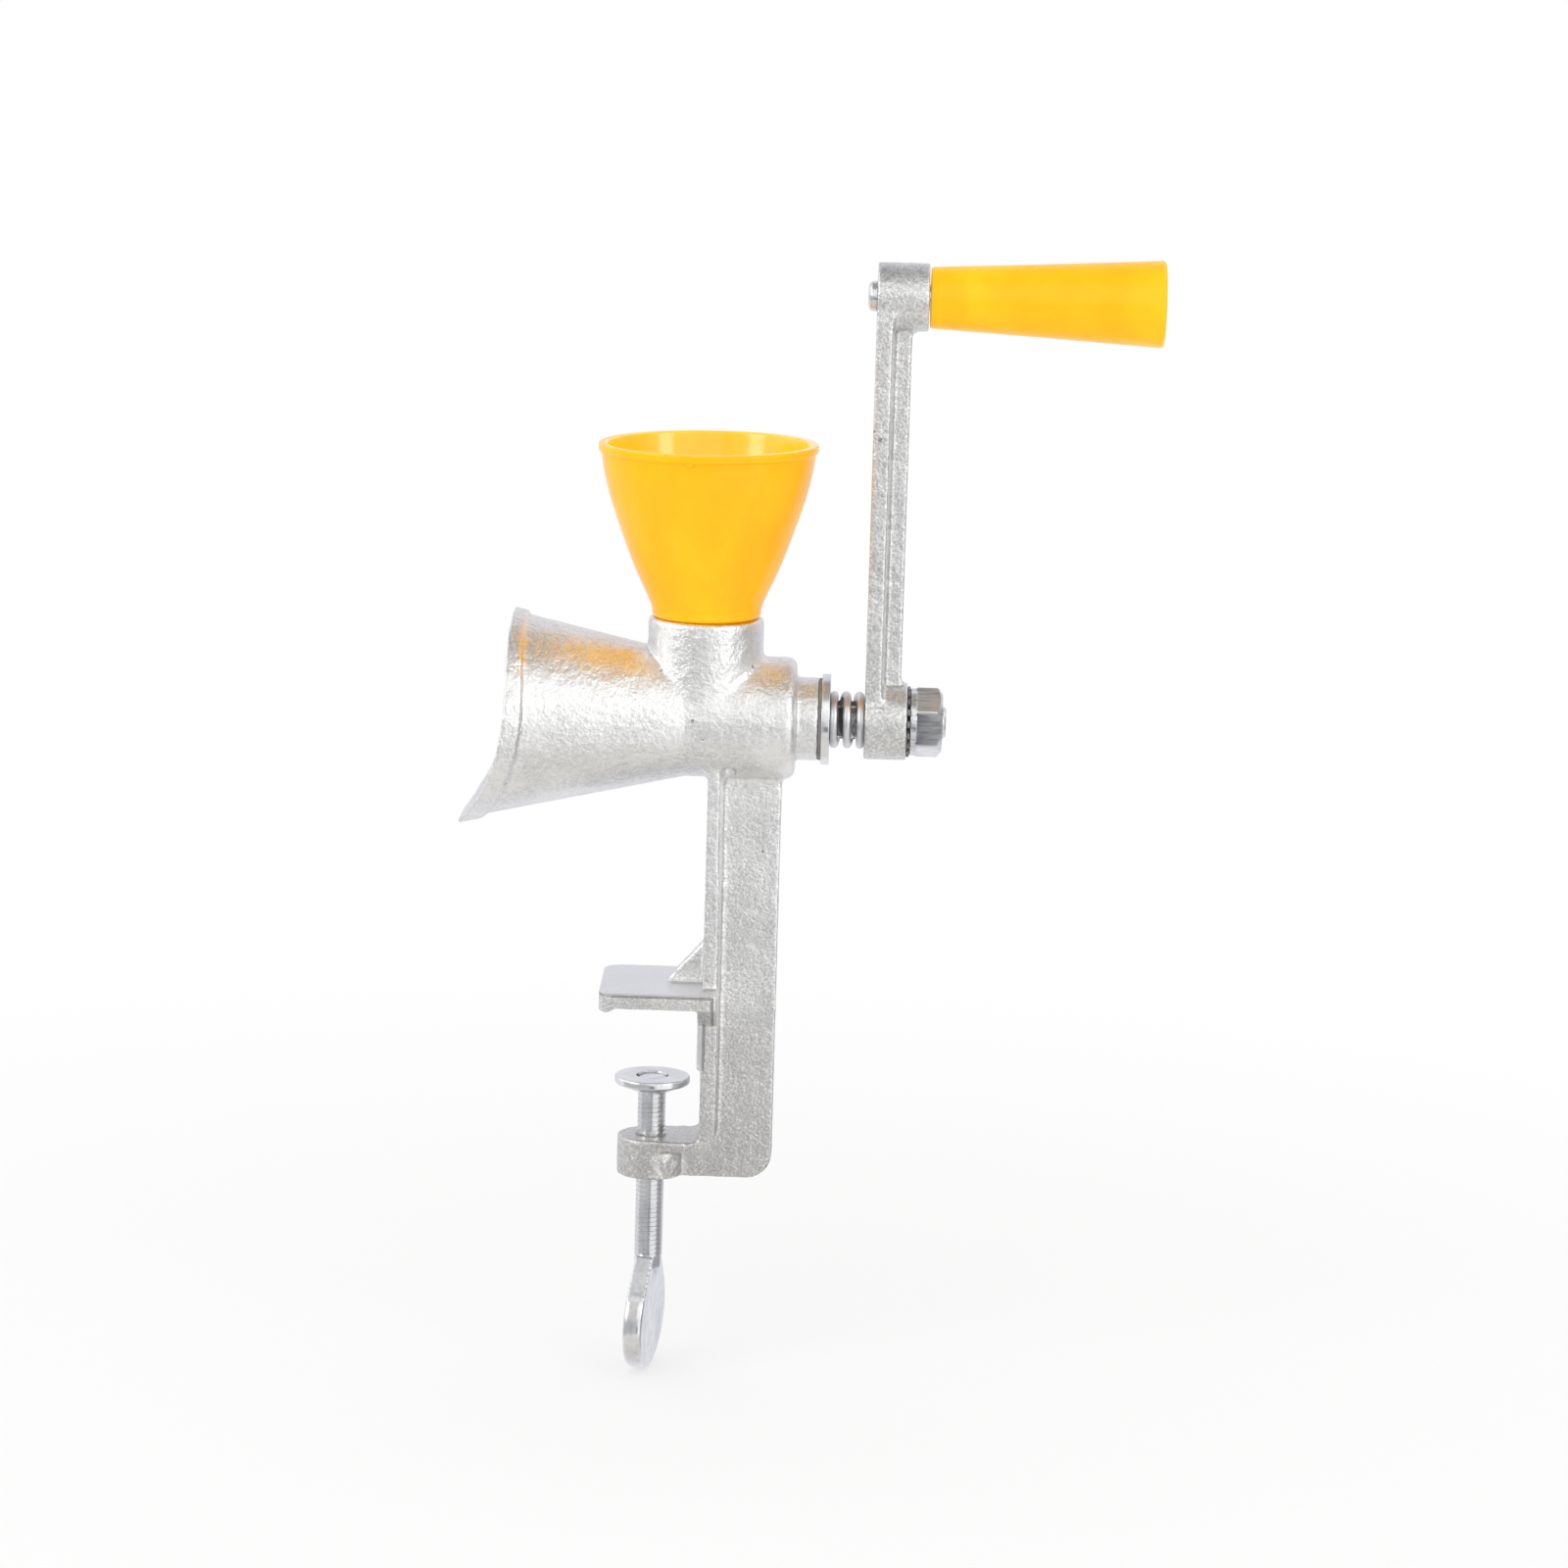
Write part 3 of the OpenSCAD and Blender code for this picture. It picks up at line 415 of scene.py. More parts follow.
def burr_iron():
    """Machined grey iron with turning marks, dark speckle and polished edges."""
    finish = Finish("burr iron", Metallic=1.0)
    turning = finish.node(
        "ShaderNodeTexWave", {"bands_direction": "X"},
        {"Vector": finish.place, "Scale": 900.0, "Distortion": 1.5, "Detail": 2.0})
    speckle = finish.noise(0.0005, 3, 0.6)
    patches = finish.noise(0.004, 3, 0.5)
    edges = finish.edges()
    tone = finish.layers(
        finish.mix(patches.between(0.3, 0.7), (0.27, 0.27, 0.275), (0.40, 0.395, 0.39)),
        (speckle.between(0.6, 0.7) * 0.5, (0.13, 0.125, 0.12)),
        (edges * 0.5, (0.62, 0.62, 0.62)))
    return finish.paint(
        Base_Color=tone,
        Roughness=0.42 - edges * 0.14 + speckle * 0.12,
        Normal=finish.relief(turning * 0.5 + speckle * 0.5, 0.00004, 0.6))


def pressed_fibre():
    """Dark pressed fibre with a felted surface."""
    finish = Finish("pressed fibre")
    fibres = finish.noise(0.0004, 4, 0.7, finish.stretched((2, 1, 0.5)))
    patches = finish.noise(0.003, 2, 0.5)
    tone = finish.layers(
        finish.mix(patches.between(0.3, 0.7), (0.20, 0.19, 0.19), (0.28, 0.27, 0.265)),
        (fibres.between(0.6, 0.75) * 0.4, (0.26, 0.25, 0.23)))
    return finish.paint(
        Base_Color=tone,
        Roughness=0.72 + fibres * 0.12,
        Normal=finish.relief(fibres, 0.00008, 0.7))


def bowl_lining(finish):
    """1 on the inside of the hopper's bowl, whose wall is close to a parabola, and 0 elsewhere."""
    x, y, z = finish.axes(finish.place)
    x, y, z = (x - HOPPER_X) / MM, y / MM, (z - HOPPER_BASE) / MM
    radius = (x * x + y * y) ** 0.5
    start, slope, bend = 11.1, 0.4237, 0.0047
    up = z - 2.9
    wall = up * slope + start - up * (z - 16) * bend
    before_grip = 1 - x.between(26, 30)
    return (wall - radius).between(-0.2, 0.2) * z.between(1.0, 2.0) * before_grip


def moulded_plastic():
    """Satin yellow moulding with faint flow streaks, waves and rubs, light scattered a little inside it, a
    glossy coat in the bowl and a painted glow, faint all over and stronger in the bowl, for light through the
    thin wall.
    """
    finish = Finish(
        "moulded plastic", Specular_IOR_Level=0.3, Emission_Strength=1.0, Coat_IOR=1.7,
        Coat_Roughness=0.1, IOR=1.49, Subsurface_Weight=0.5, Subsurface_Scale=0.003,
        Subsurface_Radius=(1.0, 0.45, 0.05))
    colour = bpy.context.scene.grinder_colours.plastic
    flow = finish.noise(0.012, 3, 0.5, finish.stretched((1, 1, 0.35)), 0.6)
    waves = finish.noise(0.006, 2, 0.5)
    skin = finish.noise(0.00035, 2, 0.5)
    rubs = finish.noise(0.0011, 3, 0.7, finish.stretched((0.15, 1, 1))).between(0.66, 0.74)
    bowl = bowl_lining(finish)
    tone = finish.layers(
        finish.mix(flow.between(0.3, 0.7), shade(colour, 0.965), (1.0, 0.548, 0.008)),
        (rubs * 0.12, (1.0, 0.62, 0.08)))
    return finish.paint(
        Base_Color=tone,
        Roughness=0.15 + flow * 0.05 + rubs * 0.12 + skin * 0.04,
        Coat_Weight=bowl * 0.65,
        # Painted glow: faint all over, stronger inside the bowl, standing in for light through the thin wall
        Emission_Color=finish.mix(bowl, (0.13, 0.056, 0.0), (0.26, 0.165, 0.006)),
        Normal=finish.relief(waves * 0.8 + skin * 0.2, 0.00007, 0.5))


# The record's material slots, and two finishes that stand in for a slot on one piece
FINISHES = {
    "cast_aluminium": cast_aluminium,
    "crank_casting": arm_aluminium,
    "zinc_steel": zinc_plate,
    "hexagon_bar": hexagon_zinc,
    "spring_steel": spring_wire,
    "dark_steel": phosphated_steel,
    "burr_iron": burr_iron,
    "fibre": pressed_fibre,
    "yellow_plastic": moulded_plastic,
}
made = {}


def finish_for(slot):
    """The material of a slot, made when it is first asked for."""
    if slot not in made:
        made[slot] = FINISHES[slot]()
    return made[slot]


# Modelling

def pick(*pieces):
    bpy.ops.object.select_all(action="DESELECT")
    for piece in pieces:
        piece.select_set(True)
    bpy.context.view_layer.objects.active = pieces[0]


def named(name):
    """Names what an add operator has just made."""
    piece = bpy.context.object
    piece.name = piece.data.name = name
    return piece


@contextmanager
def editing(piece, kind="VERT"):
    """Edit mode on a piece, with all of it selected."""
    pick(piece)
    bpy.ops.object.mode_set(mode="EDIT")
    bpy.ops.mesh.select_mode(type=kind)
    bpy.ops.mesh.select_all(action="SELECT")
    yield
    bpy.ops.object.mode_set(mode="OBJECT")


def choose(piece, wanted, kind="verts"):
    """Selects only the vertices, edges or faces of the piece being edited that pass a test."""
    bpy.ops.mesh.select_all(action="DESELECT")
    mesh = bmesh.from_edit_mesh(piece.data)
    for element in getattr(mesh, kind):
        if wanted(element):
            element.select_set(True)
    mesh.select_flush_mode()
    bmesh.update_edit_mesh(piece.data)


def settle(piece):
    """Moves a piece's place, turn and size into its mesh."""
    pick(piece)
    bpy.ops.object.transform_apply(location=True, rotation=True, scale=True)


def modify(piece, kind, **settings):
    """Adds a modifier and applies it."""
    pick(piece)
    modifier = piece.modifiers.new(kind.lower(), kind)
    for key, value in settings.items():
        setattr(modifier, key, value)
    bpy.ops.object.modifier_apply(modifier=modifier.name)


def carve(piece, cutter, operation="DIFFERENCE"):
    modify(piece, "BOOLEAN", object=cutter, operation=operation, solver="EXACT")
    bpy.data.objects.remove(cutter)


def cut_off(piece, place, normal):
    """Cuts away what lies on the normal's side of a plane, and closes the cut."""
    with editing(piece):
        bpy.ops.mesh.bisect(plane_co=place, plane_no=normal, use_fill=True, clear_outer=True)


def join(piece, *others):
    pick(piece, *others)
    bpy.ops.object.join()


def shade_round(piece, sharp_from):
    """Smooth shading, with edges of more than so many degrees kept sharp."""
    pick(piece)
    bpy.ops.object.shade_smooth_by_angle(angle=math.radians(sharp_from))


def merge(piece, reach):
    """Merges doubled points and turns all faces outwards."""
    with editing(piece):
        bpy.ops.mesh.remove_doubles(threshold=reach)
        bpy.ops.mesh.normals_make_consistent(inside=False)


def tidy(piece, sharp_from):
    merge(piece, reach=0.000002)
    shade_round(piece, sharp_from)


def relax(piece, wanted, rounds):
    """Evens out the skin where two forms meet, which leaves a soft fillet. The test gets millimetres."""
    with editing(piece):
        choose(piece, lambda vertex: wanted(*(value / MM for value in vertex.co)))
        bpy.ops.mesh.vertices_smooth(factor=0.5, repeat=rounds)


def finished(piece, body, slot, node, finish=None):
    """Gives a piece its finish, hides the CAD node it replaces and hangs it on its body, where one is given.
    """
    piece.data.validate()
    piece.data.materials.clear()
    piece.data.materials.append(finish_for(finish or slot))
    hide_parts(node)
    if body:
        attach(piece, body)


def chain(name, spots, place=None):
    """One point drawn out from spot to spot. The spots count from a place, where one is given."""
    bpy.ops.object.select_all(action="DESELECT")
    bpy.ops.mesh.primitive_plane_add(size=MM, location=place or spots[0])
    piece = named(name)
    settle(piece)
    with editing(piece):
        bpy.ops.mesh.merge(type="CENTER")
        if place:
            bpy.ops.transform.translate(value=spots[0])
        for here, there in zip(spots, spots[1:]):
            bpy.ops.mesh.extrude_vertices_move(TRANSFORM_OT_translate={"value": there - here})
    return piece


def block(name, corners):
    """A convex block round corners given in millimetres."""
    piece = chain(name, [Vector(corner) * MM for corner in corners])
    with editing(piece):
        bpy.ops.mesh.convex_hull()
        bpy.ops.mesh.select_all(action="SELECT")
        bpy.ops.mesh.normals_make_consistent(inside=False)
    return piece


def prism(name, outline, low, high, axis="Y"):
    """A block with an outline in the plane across an axis, between two places on that axis."""
    order = {"X": (2, 0, 1), "Y": (0, 2, 1), "Z": (0, 1, 2)}[axis]
    corners = [(a, b, place) for place in (low, high) for a, b in outline]
    return block(name, [[corner[index] for index in order] for corner in corners])


def soften(corners, steps=5):
    """A profile of (along, radius) points; a corner with a third number is rounded by that much."""
    points = []
    for index, corner in enumerate(corners):
        here = Vector(corner[:2])
        if len(corner) < 3 or index in (0, len(corners) - 1):
            points.append(here)
            continue
        before, after = corners[index - 1], corners[index + 1]
        back, on = Vector(before[:2]) - here, Vector(after[:2]) - here
        room = [
            side.length * (0.49 if len(other) > 2 else 0.98)
            for side, other in ((back, before), (on, after))]
        reach = min(corner[2] / math.tan(back.angle(on) / 2), *room)
        start, end = here + back.normalized() * reach, here + on.normalized() * reach
        for step in range(steps + 1):
            share = step / steps
            points.append(start * (1 - share) ** 2 + here * (2 * share * (1 - share)) + end * share ** 2)
    return points


def lathe(name, corners, place, axis="X", steps=96, sharp_from=35):
    """Draws a profile in millimetres and spins it round an axis through a place."""
    spots = [
        Vector((along, 0, across) if axis == "X" else (across, 0, along)) * MM
        for along, across in soften(corners)]
    piece = chain(name, spots, place)
    with editing(piece):
        bpy.ops.mesh.spin(
            steps=steps, angle=2 * math.pi, center=place, axis=(1, 0, 0) if axis == "X" else (0, 0, 1))
    tidy(piece, sharp_from)
    return piece


def thread(name, place, axis, radius, depth, pitch, length, flat=0.0):
    """A right-hand thread: a zigzag of one pitch is screwed along z, trimmed and laid on its axis."""
    root = radius - depth
    zigzag = (
        (root, 0), (root, 0.08), (radius, 0.46 - flat), (radius, 0.54 + flat), (root, 0.92), (root, 1))
    piece = chain(name, [Vector((across, 0, (share - 1) * pitch)) for across, share in zigzag], (0, 0, 0))
    close = 0.000005
    modify(piece, "SCREW", angle=2 * math.pi, screw_offset=pitch, iterations=math.ceil(length / pitch) + 2,
           steps=36, render_steps=36, axis="Z", use_merge_vertices=True, merge_threshold=close)
    with editing(piece):
        bpy.ops.mesh.remove_doubles(threshold=close)
    cut_off(piece, (0, 0, 0), (0, 0, -1))
    cut_off(piece, (0, 0, length), (0, 0, 1))
    if axis == "X":
        piece.rotation_euler = (0, math.pi / 2, 0)
    piece.location = place
    settle(piece)
    tidy(piece, 40)
    return piece


def cad_copy(node, name):
    """A merged copy of a CAD node, to shape further."""
    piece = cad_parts[node].copy()
    piece.data = piece.data.copy()
    piece.parent = None
    for key in list(piece.keys()):
        del piece[key]
    bpy.context.scene.collection.objects.link(piece)
    piece.name = piece.data.name = name
    merge(piece, reach=0.000001)
    return piece


def blend_corners(piece, voxel):
    """Remakes a piece on a fine grid, which blends its joined forms into one skin."""
    modify(piece, "REMESH", mode="VOXEL", voxel_size=voxel, use_smooth_shade=True)


def cast_skin(piece, rounds, most):
    """Rounds a piece's corners as sand does, makes its skin slightly uneven and limits its triangles."""
    modify(piece, "SMOOTH", factor=0.5, iterations=rounds)
    sand = bpy.data.textures.new(piece.name + " sand", "CLOUDS")
    sand.noise_scale = 0.0014
    sand.noise_depth = 2
    modify(piece, "DISPLACE", texture=sand, strength=0.00016, mid_level=0.55, texture_coords="LOCAL")
    count = sum(len(polygon.vertices) - 2 for polygon in piece.data.polygons)
    if count > most:
        modify(piece, "DECIMATE", ratio=most / count)
    pick(piece)
    bpy.ops.object.shade_smooth()


# Pieces of the cast body

def post_sections(points):
    """The same section of the post near its head and near its foot, where it is thicker.

    A point is (x, y, growth): growth is how much of the thickening it takes.
    """
    head, foot = (51, -0.06), (-26, 1.16)
    return [(x + growth * share, y, z) for z, share in (head, foot) for x, y, growth in points]


def dress_post(piece, side):
    """Slants the edge of the post's flange on one side, and gives what the mould adds there."""
    carve(piece, block("flange_edge", post_sections([
        (12.83, 8.3 * side, 0.9), (13.6, 5 * side, 0.9), (16, 5 * side, 0), (16, 8.3 * side, 0)])))
    draft = block("flange_draft", post_sections([
        (11.6, 7.9 * side, 0), (12.9, 7.9 * side, 0.9), (13.85, 3.7 * side, 1.05),
        (13.85, 2 * side, 1.05), (11.6, 2 * side, 0)]))
    fillet = block("web_fillet", post_sections([
        (13.2, 3.75 * side, 1.05), (13.9, 3.75 * side, 1.05), (14.75, 2.45 * side, 1),
        (14.75, 2 * side, 1), (13.2, 2 * side, 1.05)]))
    return [draft, fillet]


def blunt_lip(piece):
    """Cuts the sharp tip off the horn's lip, square to the way it points."""
    outward, across = Vector((-0.75, 0, -0.66)), Vector((0.66, 0, -0.75))
    lip = [vertex.co for vertex in piece.data.vertices if vertex.co.x < -0.030]
    tip = max(lip, key=outward.dot) / MM
    corners = [
        tip + outward * along + across * aside
        for along, aside in ((-1.1, 5), (-1.1, -5), (3, -5), (3, 5))]
    carve(piece, prism("blunt_lip", [(corner.x, corner.z) for corner in corners], -CUTTER_HALF, CUTTER_HALF))


def above_shaft(z):
    return z - SHAFT_Z / MM


def in_collar_seam(x, y, z):
    """Where the hopper's collar grows out of the barrel."""
    around_collar = abs(math.hypot(x - HOPPER_X / MM, y) - COLLAR_RADIUS) < 1.3
    around_barrel = above_shaft(z) > 0 and abs(math.hypot(y, above_shaft(z)) - BARREL_RADIUS) < 1.6
    return around_collar and around_barrel


def in_post_head(x, y, z):
    """Where the post grows out of the barrel."""
    under_barrel = above_shaft(z) < 0 and abs(math.hypot(y, above_shaft(z)) - 13) < 1.5
    return under_barrel and 9 < x < 27.2 and abs(y) < 9.5


def in_gusset_foot(x, y, z):
    """Where the gusset stands on the fixed jaw."""
    return 1.5 < x < 10.2 and 0.9 < abs(y) < 2.6 and 2.6 < z < 4.6


class GRINDER_OT_casting(bpy.types.Operator):
    """Cast body with the horn, barrel, collar, post and both jaws"""
    bl_idname = "grinder.casting"
    bl_label = "Cast body"

    def execute(self, context):
        piece = cad_copy("body_casting", "cast_body")
        extras = dress_post(piece, -1) + dress_post(piece, 1)
        carve(piece, prism(
            "ridge_slant", [(-9.7, -1.12), (-7.9, -0.28), (-7.9, -2), (-9.7, -2)], -CUTTER_HALF, CUTTER_HALF))
        extras.append(prism(
            "ridge_root", [(-9.2, -0.85), (-9.2, 0.6), (-7.2, 0.6), (-7.2, 0.05)], -14.4, 14.4))
        outside, over = COLLAR_RADIUS + 0.7, COLLAR_TOP + 0.5
        carve(piece, lathe("collar_rounding", [
            (over, 11.1), (COLLAR_TOP, 11.1), (COLLAR_TOP, COLLAR_RADIUS, 1.0), (80.3, COLLAR_RADIUS),
            (80.3, outside), (over, outside), (over, 11.1)], (HOPPER_X, 0, 0), "Z"))
        join(piece, *extras)
        blunt_lip(piece)
        blend_corners(piece, context.scene.grinder_sizes.cast_voxel)
        relax(piece, in_collar_seam, rounds=12)
        relax(piece, in_post_head, rounds=14)
        relax(piece, in_gusset_foot, rounds=10)
        cast_skin(piece, rounds=4, most=192000)
        finished(piece, "casting", "cast_aluminium", "body_casting")
        return {"FINISHED"}


# Other pieces

class GRINDER_OT_hopper(bpy.types.Operator):
    """Moulded funnel hopper with its foot, rim and gate stub"""
    bl_idname = "grinder.hopper"
    bl_label = "Hopper"

    def execute(self, context):
        place = Vector((HOPPER_X, 0, HOPPER_BASE))
        foot = [(-3, 8.4), (-7.2, 8.4, 0.5), (-7.2, 9.8, 0.6), (0, 9.8), (0, 11.4, 1.1), (1.6, 11.45)]
        wall = [
            (2.9, 11.8), (4.3, 12.4), (6, 13.2), (8, 14.15), (10.5, 15.25), (13, 16.25), (16, 17.35),
            (19, 18.4), (22, 19.45), (25, 20.4), (28, 21.2), (31, 21.85), (33, 22.15)]
        rim = [(34.6, 22.3, 0.25), (34.75, 22.9, 0.3), (36.4, 22.9, 0.45), (36.4, 21.1, 0.6), (34.5, 20.9)]
        thickness, lift = 1.4, 0.5
        lining = [(along + lift, across - thickness) for along, across in reversed(wall)]
        piece = lathe(
            "funnel_hopper", foot + wall + rim + lining + [(1.5, 9.6), (-3, 8.4)], place, "Z", 128, 30)
        stub = lathe("gate_stub", [(-0.6, 0), (-0.6, 0.9, 0.5), (0.6, 1.0, 0.4), (0.6, 0)],
                     place + Vector((-0.0030, -0.0218, 0.0345)), "Z", 20, 40)
        join(piece, stub)
        lean = Matrix.Rotation(math.radians(-0.7), 4, "Y")
        raised = place + Vector((0, 0, 0.0001))
        piece.matrix_world = Matrix.Translation(raised) @ lean @ Matrix.Translation(-place)
        settle(piece)
        finished(piece, "hopper", "yellow_plastic", "hopper")
        return {"FINISHED"}


def arm_fillet(name, height, face, half, radius, size, reach):
    """A ring of fillet round a boss, kept only where the arm's bar or rib meets it."""
    inside, under = radius - 0.5, face - 0.4
    ring = lathe(name, [
        (under, inside), (under, radius + size), (face, radius + size), (face + 0.02, radius + 0.02, size),
        (face + size, radius), (face + size, inside), (under, inside)], (0, 0, height), "X", 64)
    low, high = sorted((height / MM, height / MM + reach))
    outline = [(40, -half), (40, half), (56, half), (56, -half)]
    carve(ring, prism(name + "_reach", outline, low, high, "Z"), "INTERSECT")
    return ring


class GRINDER_OT_crank(bpy.types.Operator):
    """Cast crank arm with its hub, rib and top boss"""
    bl_idname = "grinder.crank"
    bl_label = "Crank arm"

    def execute(self, context):
        piece = cad_copy("crank_arm", "cast_arm")
        extras = [
            prism("rib_draft", [
                (45.8, 6.55 * side), (BAR_FACE, BAR_HALF * side), (46.7, 1.95 * side), (46.7, 1 * side),
                (45.8, 1 * side)], SHAFT_Z / MM + 6, ARM_Z / MM - 5, "Z")
            for side in (-1, 1)]
        down, up = -9, 10
        extras += [
            arm_fillet("boss_fillet", ARM_Z, BAR_FACE, BAR_HALF, BOSS_RADIUS, 1.7, down),
            arm_fillet("boss_rib_fillet", ARM_Z, RIB_FACE, RIB_HALF, BOSS_RADIUS, 1.7, down),
            arm_fillet("hub_fillet", SHAFT_Z, BAR_FACE, BAR_HALF, HUB_RADIUS, 1.5, up),
            arm_fillet("hub_rib_fillet", SHAFT_Z, RIB_FACE, RIB_HALF, HUB_RADIUS, 1.4, up)]
        join(piece, *extras)
        blend_corners(piece, context.scene.grinder_sizes.arm_voxel)
        cast_skin(piece, rounds=5, most=150000)
        finished(piece, "crank", "cast_aluminium", "crank_arm", finish="crank_casting")
        return {"FINISHED"}


class GRINDER_OT_handle(bpy.types.Operator):
    """Tapered grip and the riveted spindle it spins on"""
    bl_idname = "grinder.handle"
    bl_label = "Handle"

    def execute(self, context):
        bore, end, well = 2.8, 48.4, 5.3
        grip = lathe("tapered_grip", [
            (20, bore), (0, bore, 0.3), (0, 6.35, 0.55), (24, 7.6), (47.3, 8.98), (end, 9.1, 0.9),
            (end, well, 0.5), (end - 4, well, 0.3), (end - 4, bore, 0.2), (20, bore)],
            (0.05365, 0, ARM_Z), "X", 112, 30)
        finished(grip, "grip", "yellow_plastic", "handle_grip")
        rod, head, rivet = 2.7, 98.15, 40.75
        spindle = lathe("riveted_spindle", [
            (rivet, 0), (rivet, 1.2), (40.9, 2.5, 0.5), (41.5, 3.1, 0.5), (42.6, 3.15, 0.2), (42.7, rod),
            (head, rod), (head, 4.5, 0.2), (100.0, 4.5, 0.8), (100.55, 3.0, 0.6), (100.55, 0)],
            (0, 0, ARM_Z), "X", 64, 30)
        finished(spindle, "crank", "zinc_steel", "handle_spindle")
        return {"FINISHED"}


def shaft_lathe(name, corners, steps, sharp_from=35):
    """A turned piece on the drive shaft."""
    return lathe(name, corners, (0, 0, SHAFT_Z), "X", steps, sharp_from)


class GRINDER_OT_washers(bpy.types.Operator):
    """Fibre seal, steel washer and toothed lock washer on the shaft"""
    bl_idname = "grinder.washers"
    bl_label = "Washers"

    def execute(self, context):
        seal = shaft_lathe("fibre_seal", [
            (33.5, BORE), (SEAL_START, BORE, 0.1), (SEAL_START, 8.62, 0.1), (SEAL_END, 8.62, 0.1),
            (SEAL_END, BORE, 0.1), (33.5, BORE)], 80)
        finished(seal, "casting", "fibre", "neck_seal")
        washer = shaft_lathe("steel_washer", [
            (34.6, BORE), (WASHER_START, BORE, 0.15), (WASHER_START, 9.5, 0.3), (WASHER_END, 9.5, 0.25),
            (WASHER_END, BORE, 0.15), (34.6, BORE)], 96)
        finished(washer, "seat", "zinc_steel", "neck_washer")
        toothed = shaft_lathe("toothed_washer", [
            (51.9, BORE), (TEETH_START, BORE, 0.1), (TEETH_START, 6.2, 0.1), (51.55, 7.4, 0.12),
            (TEETH_END, 7.4, 0.12), (TEETH_END, 6.2, 0.1), (TEETH_END, BORE, 0.1), (51.9, BORE)], 72)

        def in_notch(vertex):
            """Every fourth point of the rim: drawn in, they leave 18 teeth."""
            y, z = vertex.co.y, vertex.co.z - SHAFT_Z
            return math.hypot(y, z) > 0.007 and 0.5 < math.degrees(math.atan2(z, y)) % 20 < 9.5

        with editing(toothed):
            choose(toothed, in_notch)
            bpy.ops.transform.resize(value=(1, 0.86, 0.86), center_override=(0, 0, SHAFT_Z))
        shade_round(toothed, 25)
        finished(toothed, "crank", "dark_steel", "lock_washer")
        return {"FINISHED"}


class GRINDER_OT_spring(bpy.types.Operator):
    """Compression spring with closed ends, which the crank squeezes"""
    bl_idname = "grinder.spring"
    bl_label = "Spring"

    def execute(self, context):
        sizes = context.scene.grinder_sizes
        across = (sizes.spring_across - sizes.wire) / 2
        room = 0.00082
        first, last = WASHER_END * MM + room, HUB_START * MM - room
        turns, count = 3, 144
        flat, slope = 0.22, 0.16
        path = bpy.data.curves.new("spring_path", "CURVE")
        path.dimensions = "3D"
        path.bevel_depth = sizes.wire / 2
        path.bevel_resolution = 5
        path.use_fill_caps = True
        spline = path.splines.new("POLY")
        spline.points.add(count)
        # A turn slopes slightly over the flat parts on both sides of its start, and climbs in between
        for step in range(count + 1):
            turn = turns * step / count - 0.5
            whole = math.floor(turn + 0.5)
            part = turn - whole
            climb = 0.5 * math.copysign(max(abs(part) - flat, 0) / (0.5 - flat), part)
            rise = min(max((whole + slope * part + (1 - slope) * climb) / (turns - 1), 0), 1)
            angle = 2 * math.pi * turn - math.pi
            spline.points[step].co = (
                first + (last - first) * rise, across * math.cos(angle),
                SHAFT_Z + across * math.sin(angle), 1)
        piece = bpy.data.objects.new("coil_spring", path)
        context.scene.collection.objects.link(piece)
        pick(piece)
        bpy.ops.object.convert(target="MESH")
        piece = context.object
        tidy(piece, 50)
        finished(piece, None, "spring_steel", "compression_spring")
        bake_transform(piece)
        return {"FINISHED"}


class GRINDER_OT_nut(bpy.types.Operator):
    """Chamfered hexagon nut that sets the grind"""
    bl_idname = "grinder.nut"
    bl_label = "Adjusting nut"

    def execute(self, context):
        flats, height, past_square = 0.013, 0.00635, math.radians(3.4)
        bpy.ops.object.select_all(action="DESELECT")
        bpy.ops.mesh.primitive_cylinder_add(
            vertices=6, radius=flats / math.cos(math.pi / 6) / 2, depth=height,
            location=(NUT_END * MM - height / 2, 0, SHAFT_Z),
            rotation=(math.pi / 2, -past_square, math.pi / 2))
        piece = named("hex_nut")
        settle(piece)
        with editing(piece, "EDGE"):
            choose(piece, lambda edge: abs(edge.verts[0].co.x - edge.verts[1].co.x) > 0.004, "edges")
            bpy.ops.mesh.bevel(offset=0.00022, segments=3, affect="EDGES")
        carve(piece, shaft_lathe("nut_turning", [
            (52.4, 0), (52.4, 6.6), (53.4, 7.2), (53.9, 7.6), (57.7, 7.6), (NUT_END, 5.9), (NUT_END, 0)], 96),
            "INTERSECT")
        carve(piece, shaft_lathe("nut_hole", [
            (52, 0), (52, 4.1), (52.7, 4.1), (53.2, 4.02), (58.3, 4.02), (NUT_END, 4.65), (59.5, 4.65),
            (59.5, 0)], 64))
        collar = shaft_lathe("nut_ring", [
            (52.7, 4.05), (NUT_START, 4.05), (NUT_START, 7.05, 0.25), (53.6, 7.15, 0.25), (53.6, 4.05),
            (52.7, 4.05)], 96)
        join(piece, collar)
        tidy(piece, 25)
        finished(piece, "nut", "zinc_steel", "adjusting_nut", finish="hexagon_bar")
        return {"FINISHED"}


class GRINDER_OT_shaft(bpy.types.Operator):
    """Drive shaft with its threaded end"""
    bl_idname = "grinder.shaft"
    bl_label = "Drive shaft"

    def execute(self, context):
        thread_start = (0.0520, 0, SHAFT_Z)
        piece = cad_copy("drive_shaft", "shaft")
        cut_off(piece, thread_start, (1, 0, 0))
        turns = thread(
            "shaft_thread", thread_start, "X", radius=0.00398, depth=0.0007, pitch=0.00125, length=0.0070)
        point = shaft_lathe("shaft_point", [
            (58.9, 0), (58.9, 3.35), (59.1, 3.35, 0.1), (59.7, 2.95, 0.3), (59.7, 0)], 64)
        join(piece, turns, point)
        shade_round(piece, 35)
        finished(piece, "rotor", "zinc_steel", "drive_shaft")
        return {"FINISHED"}


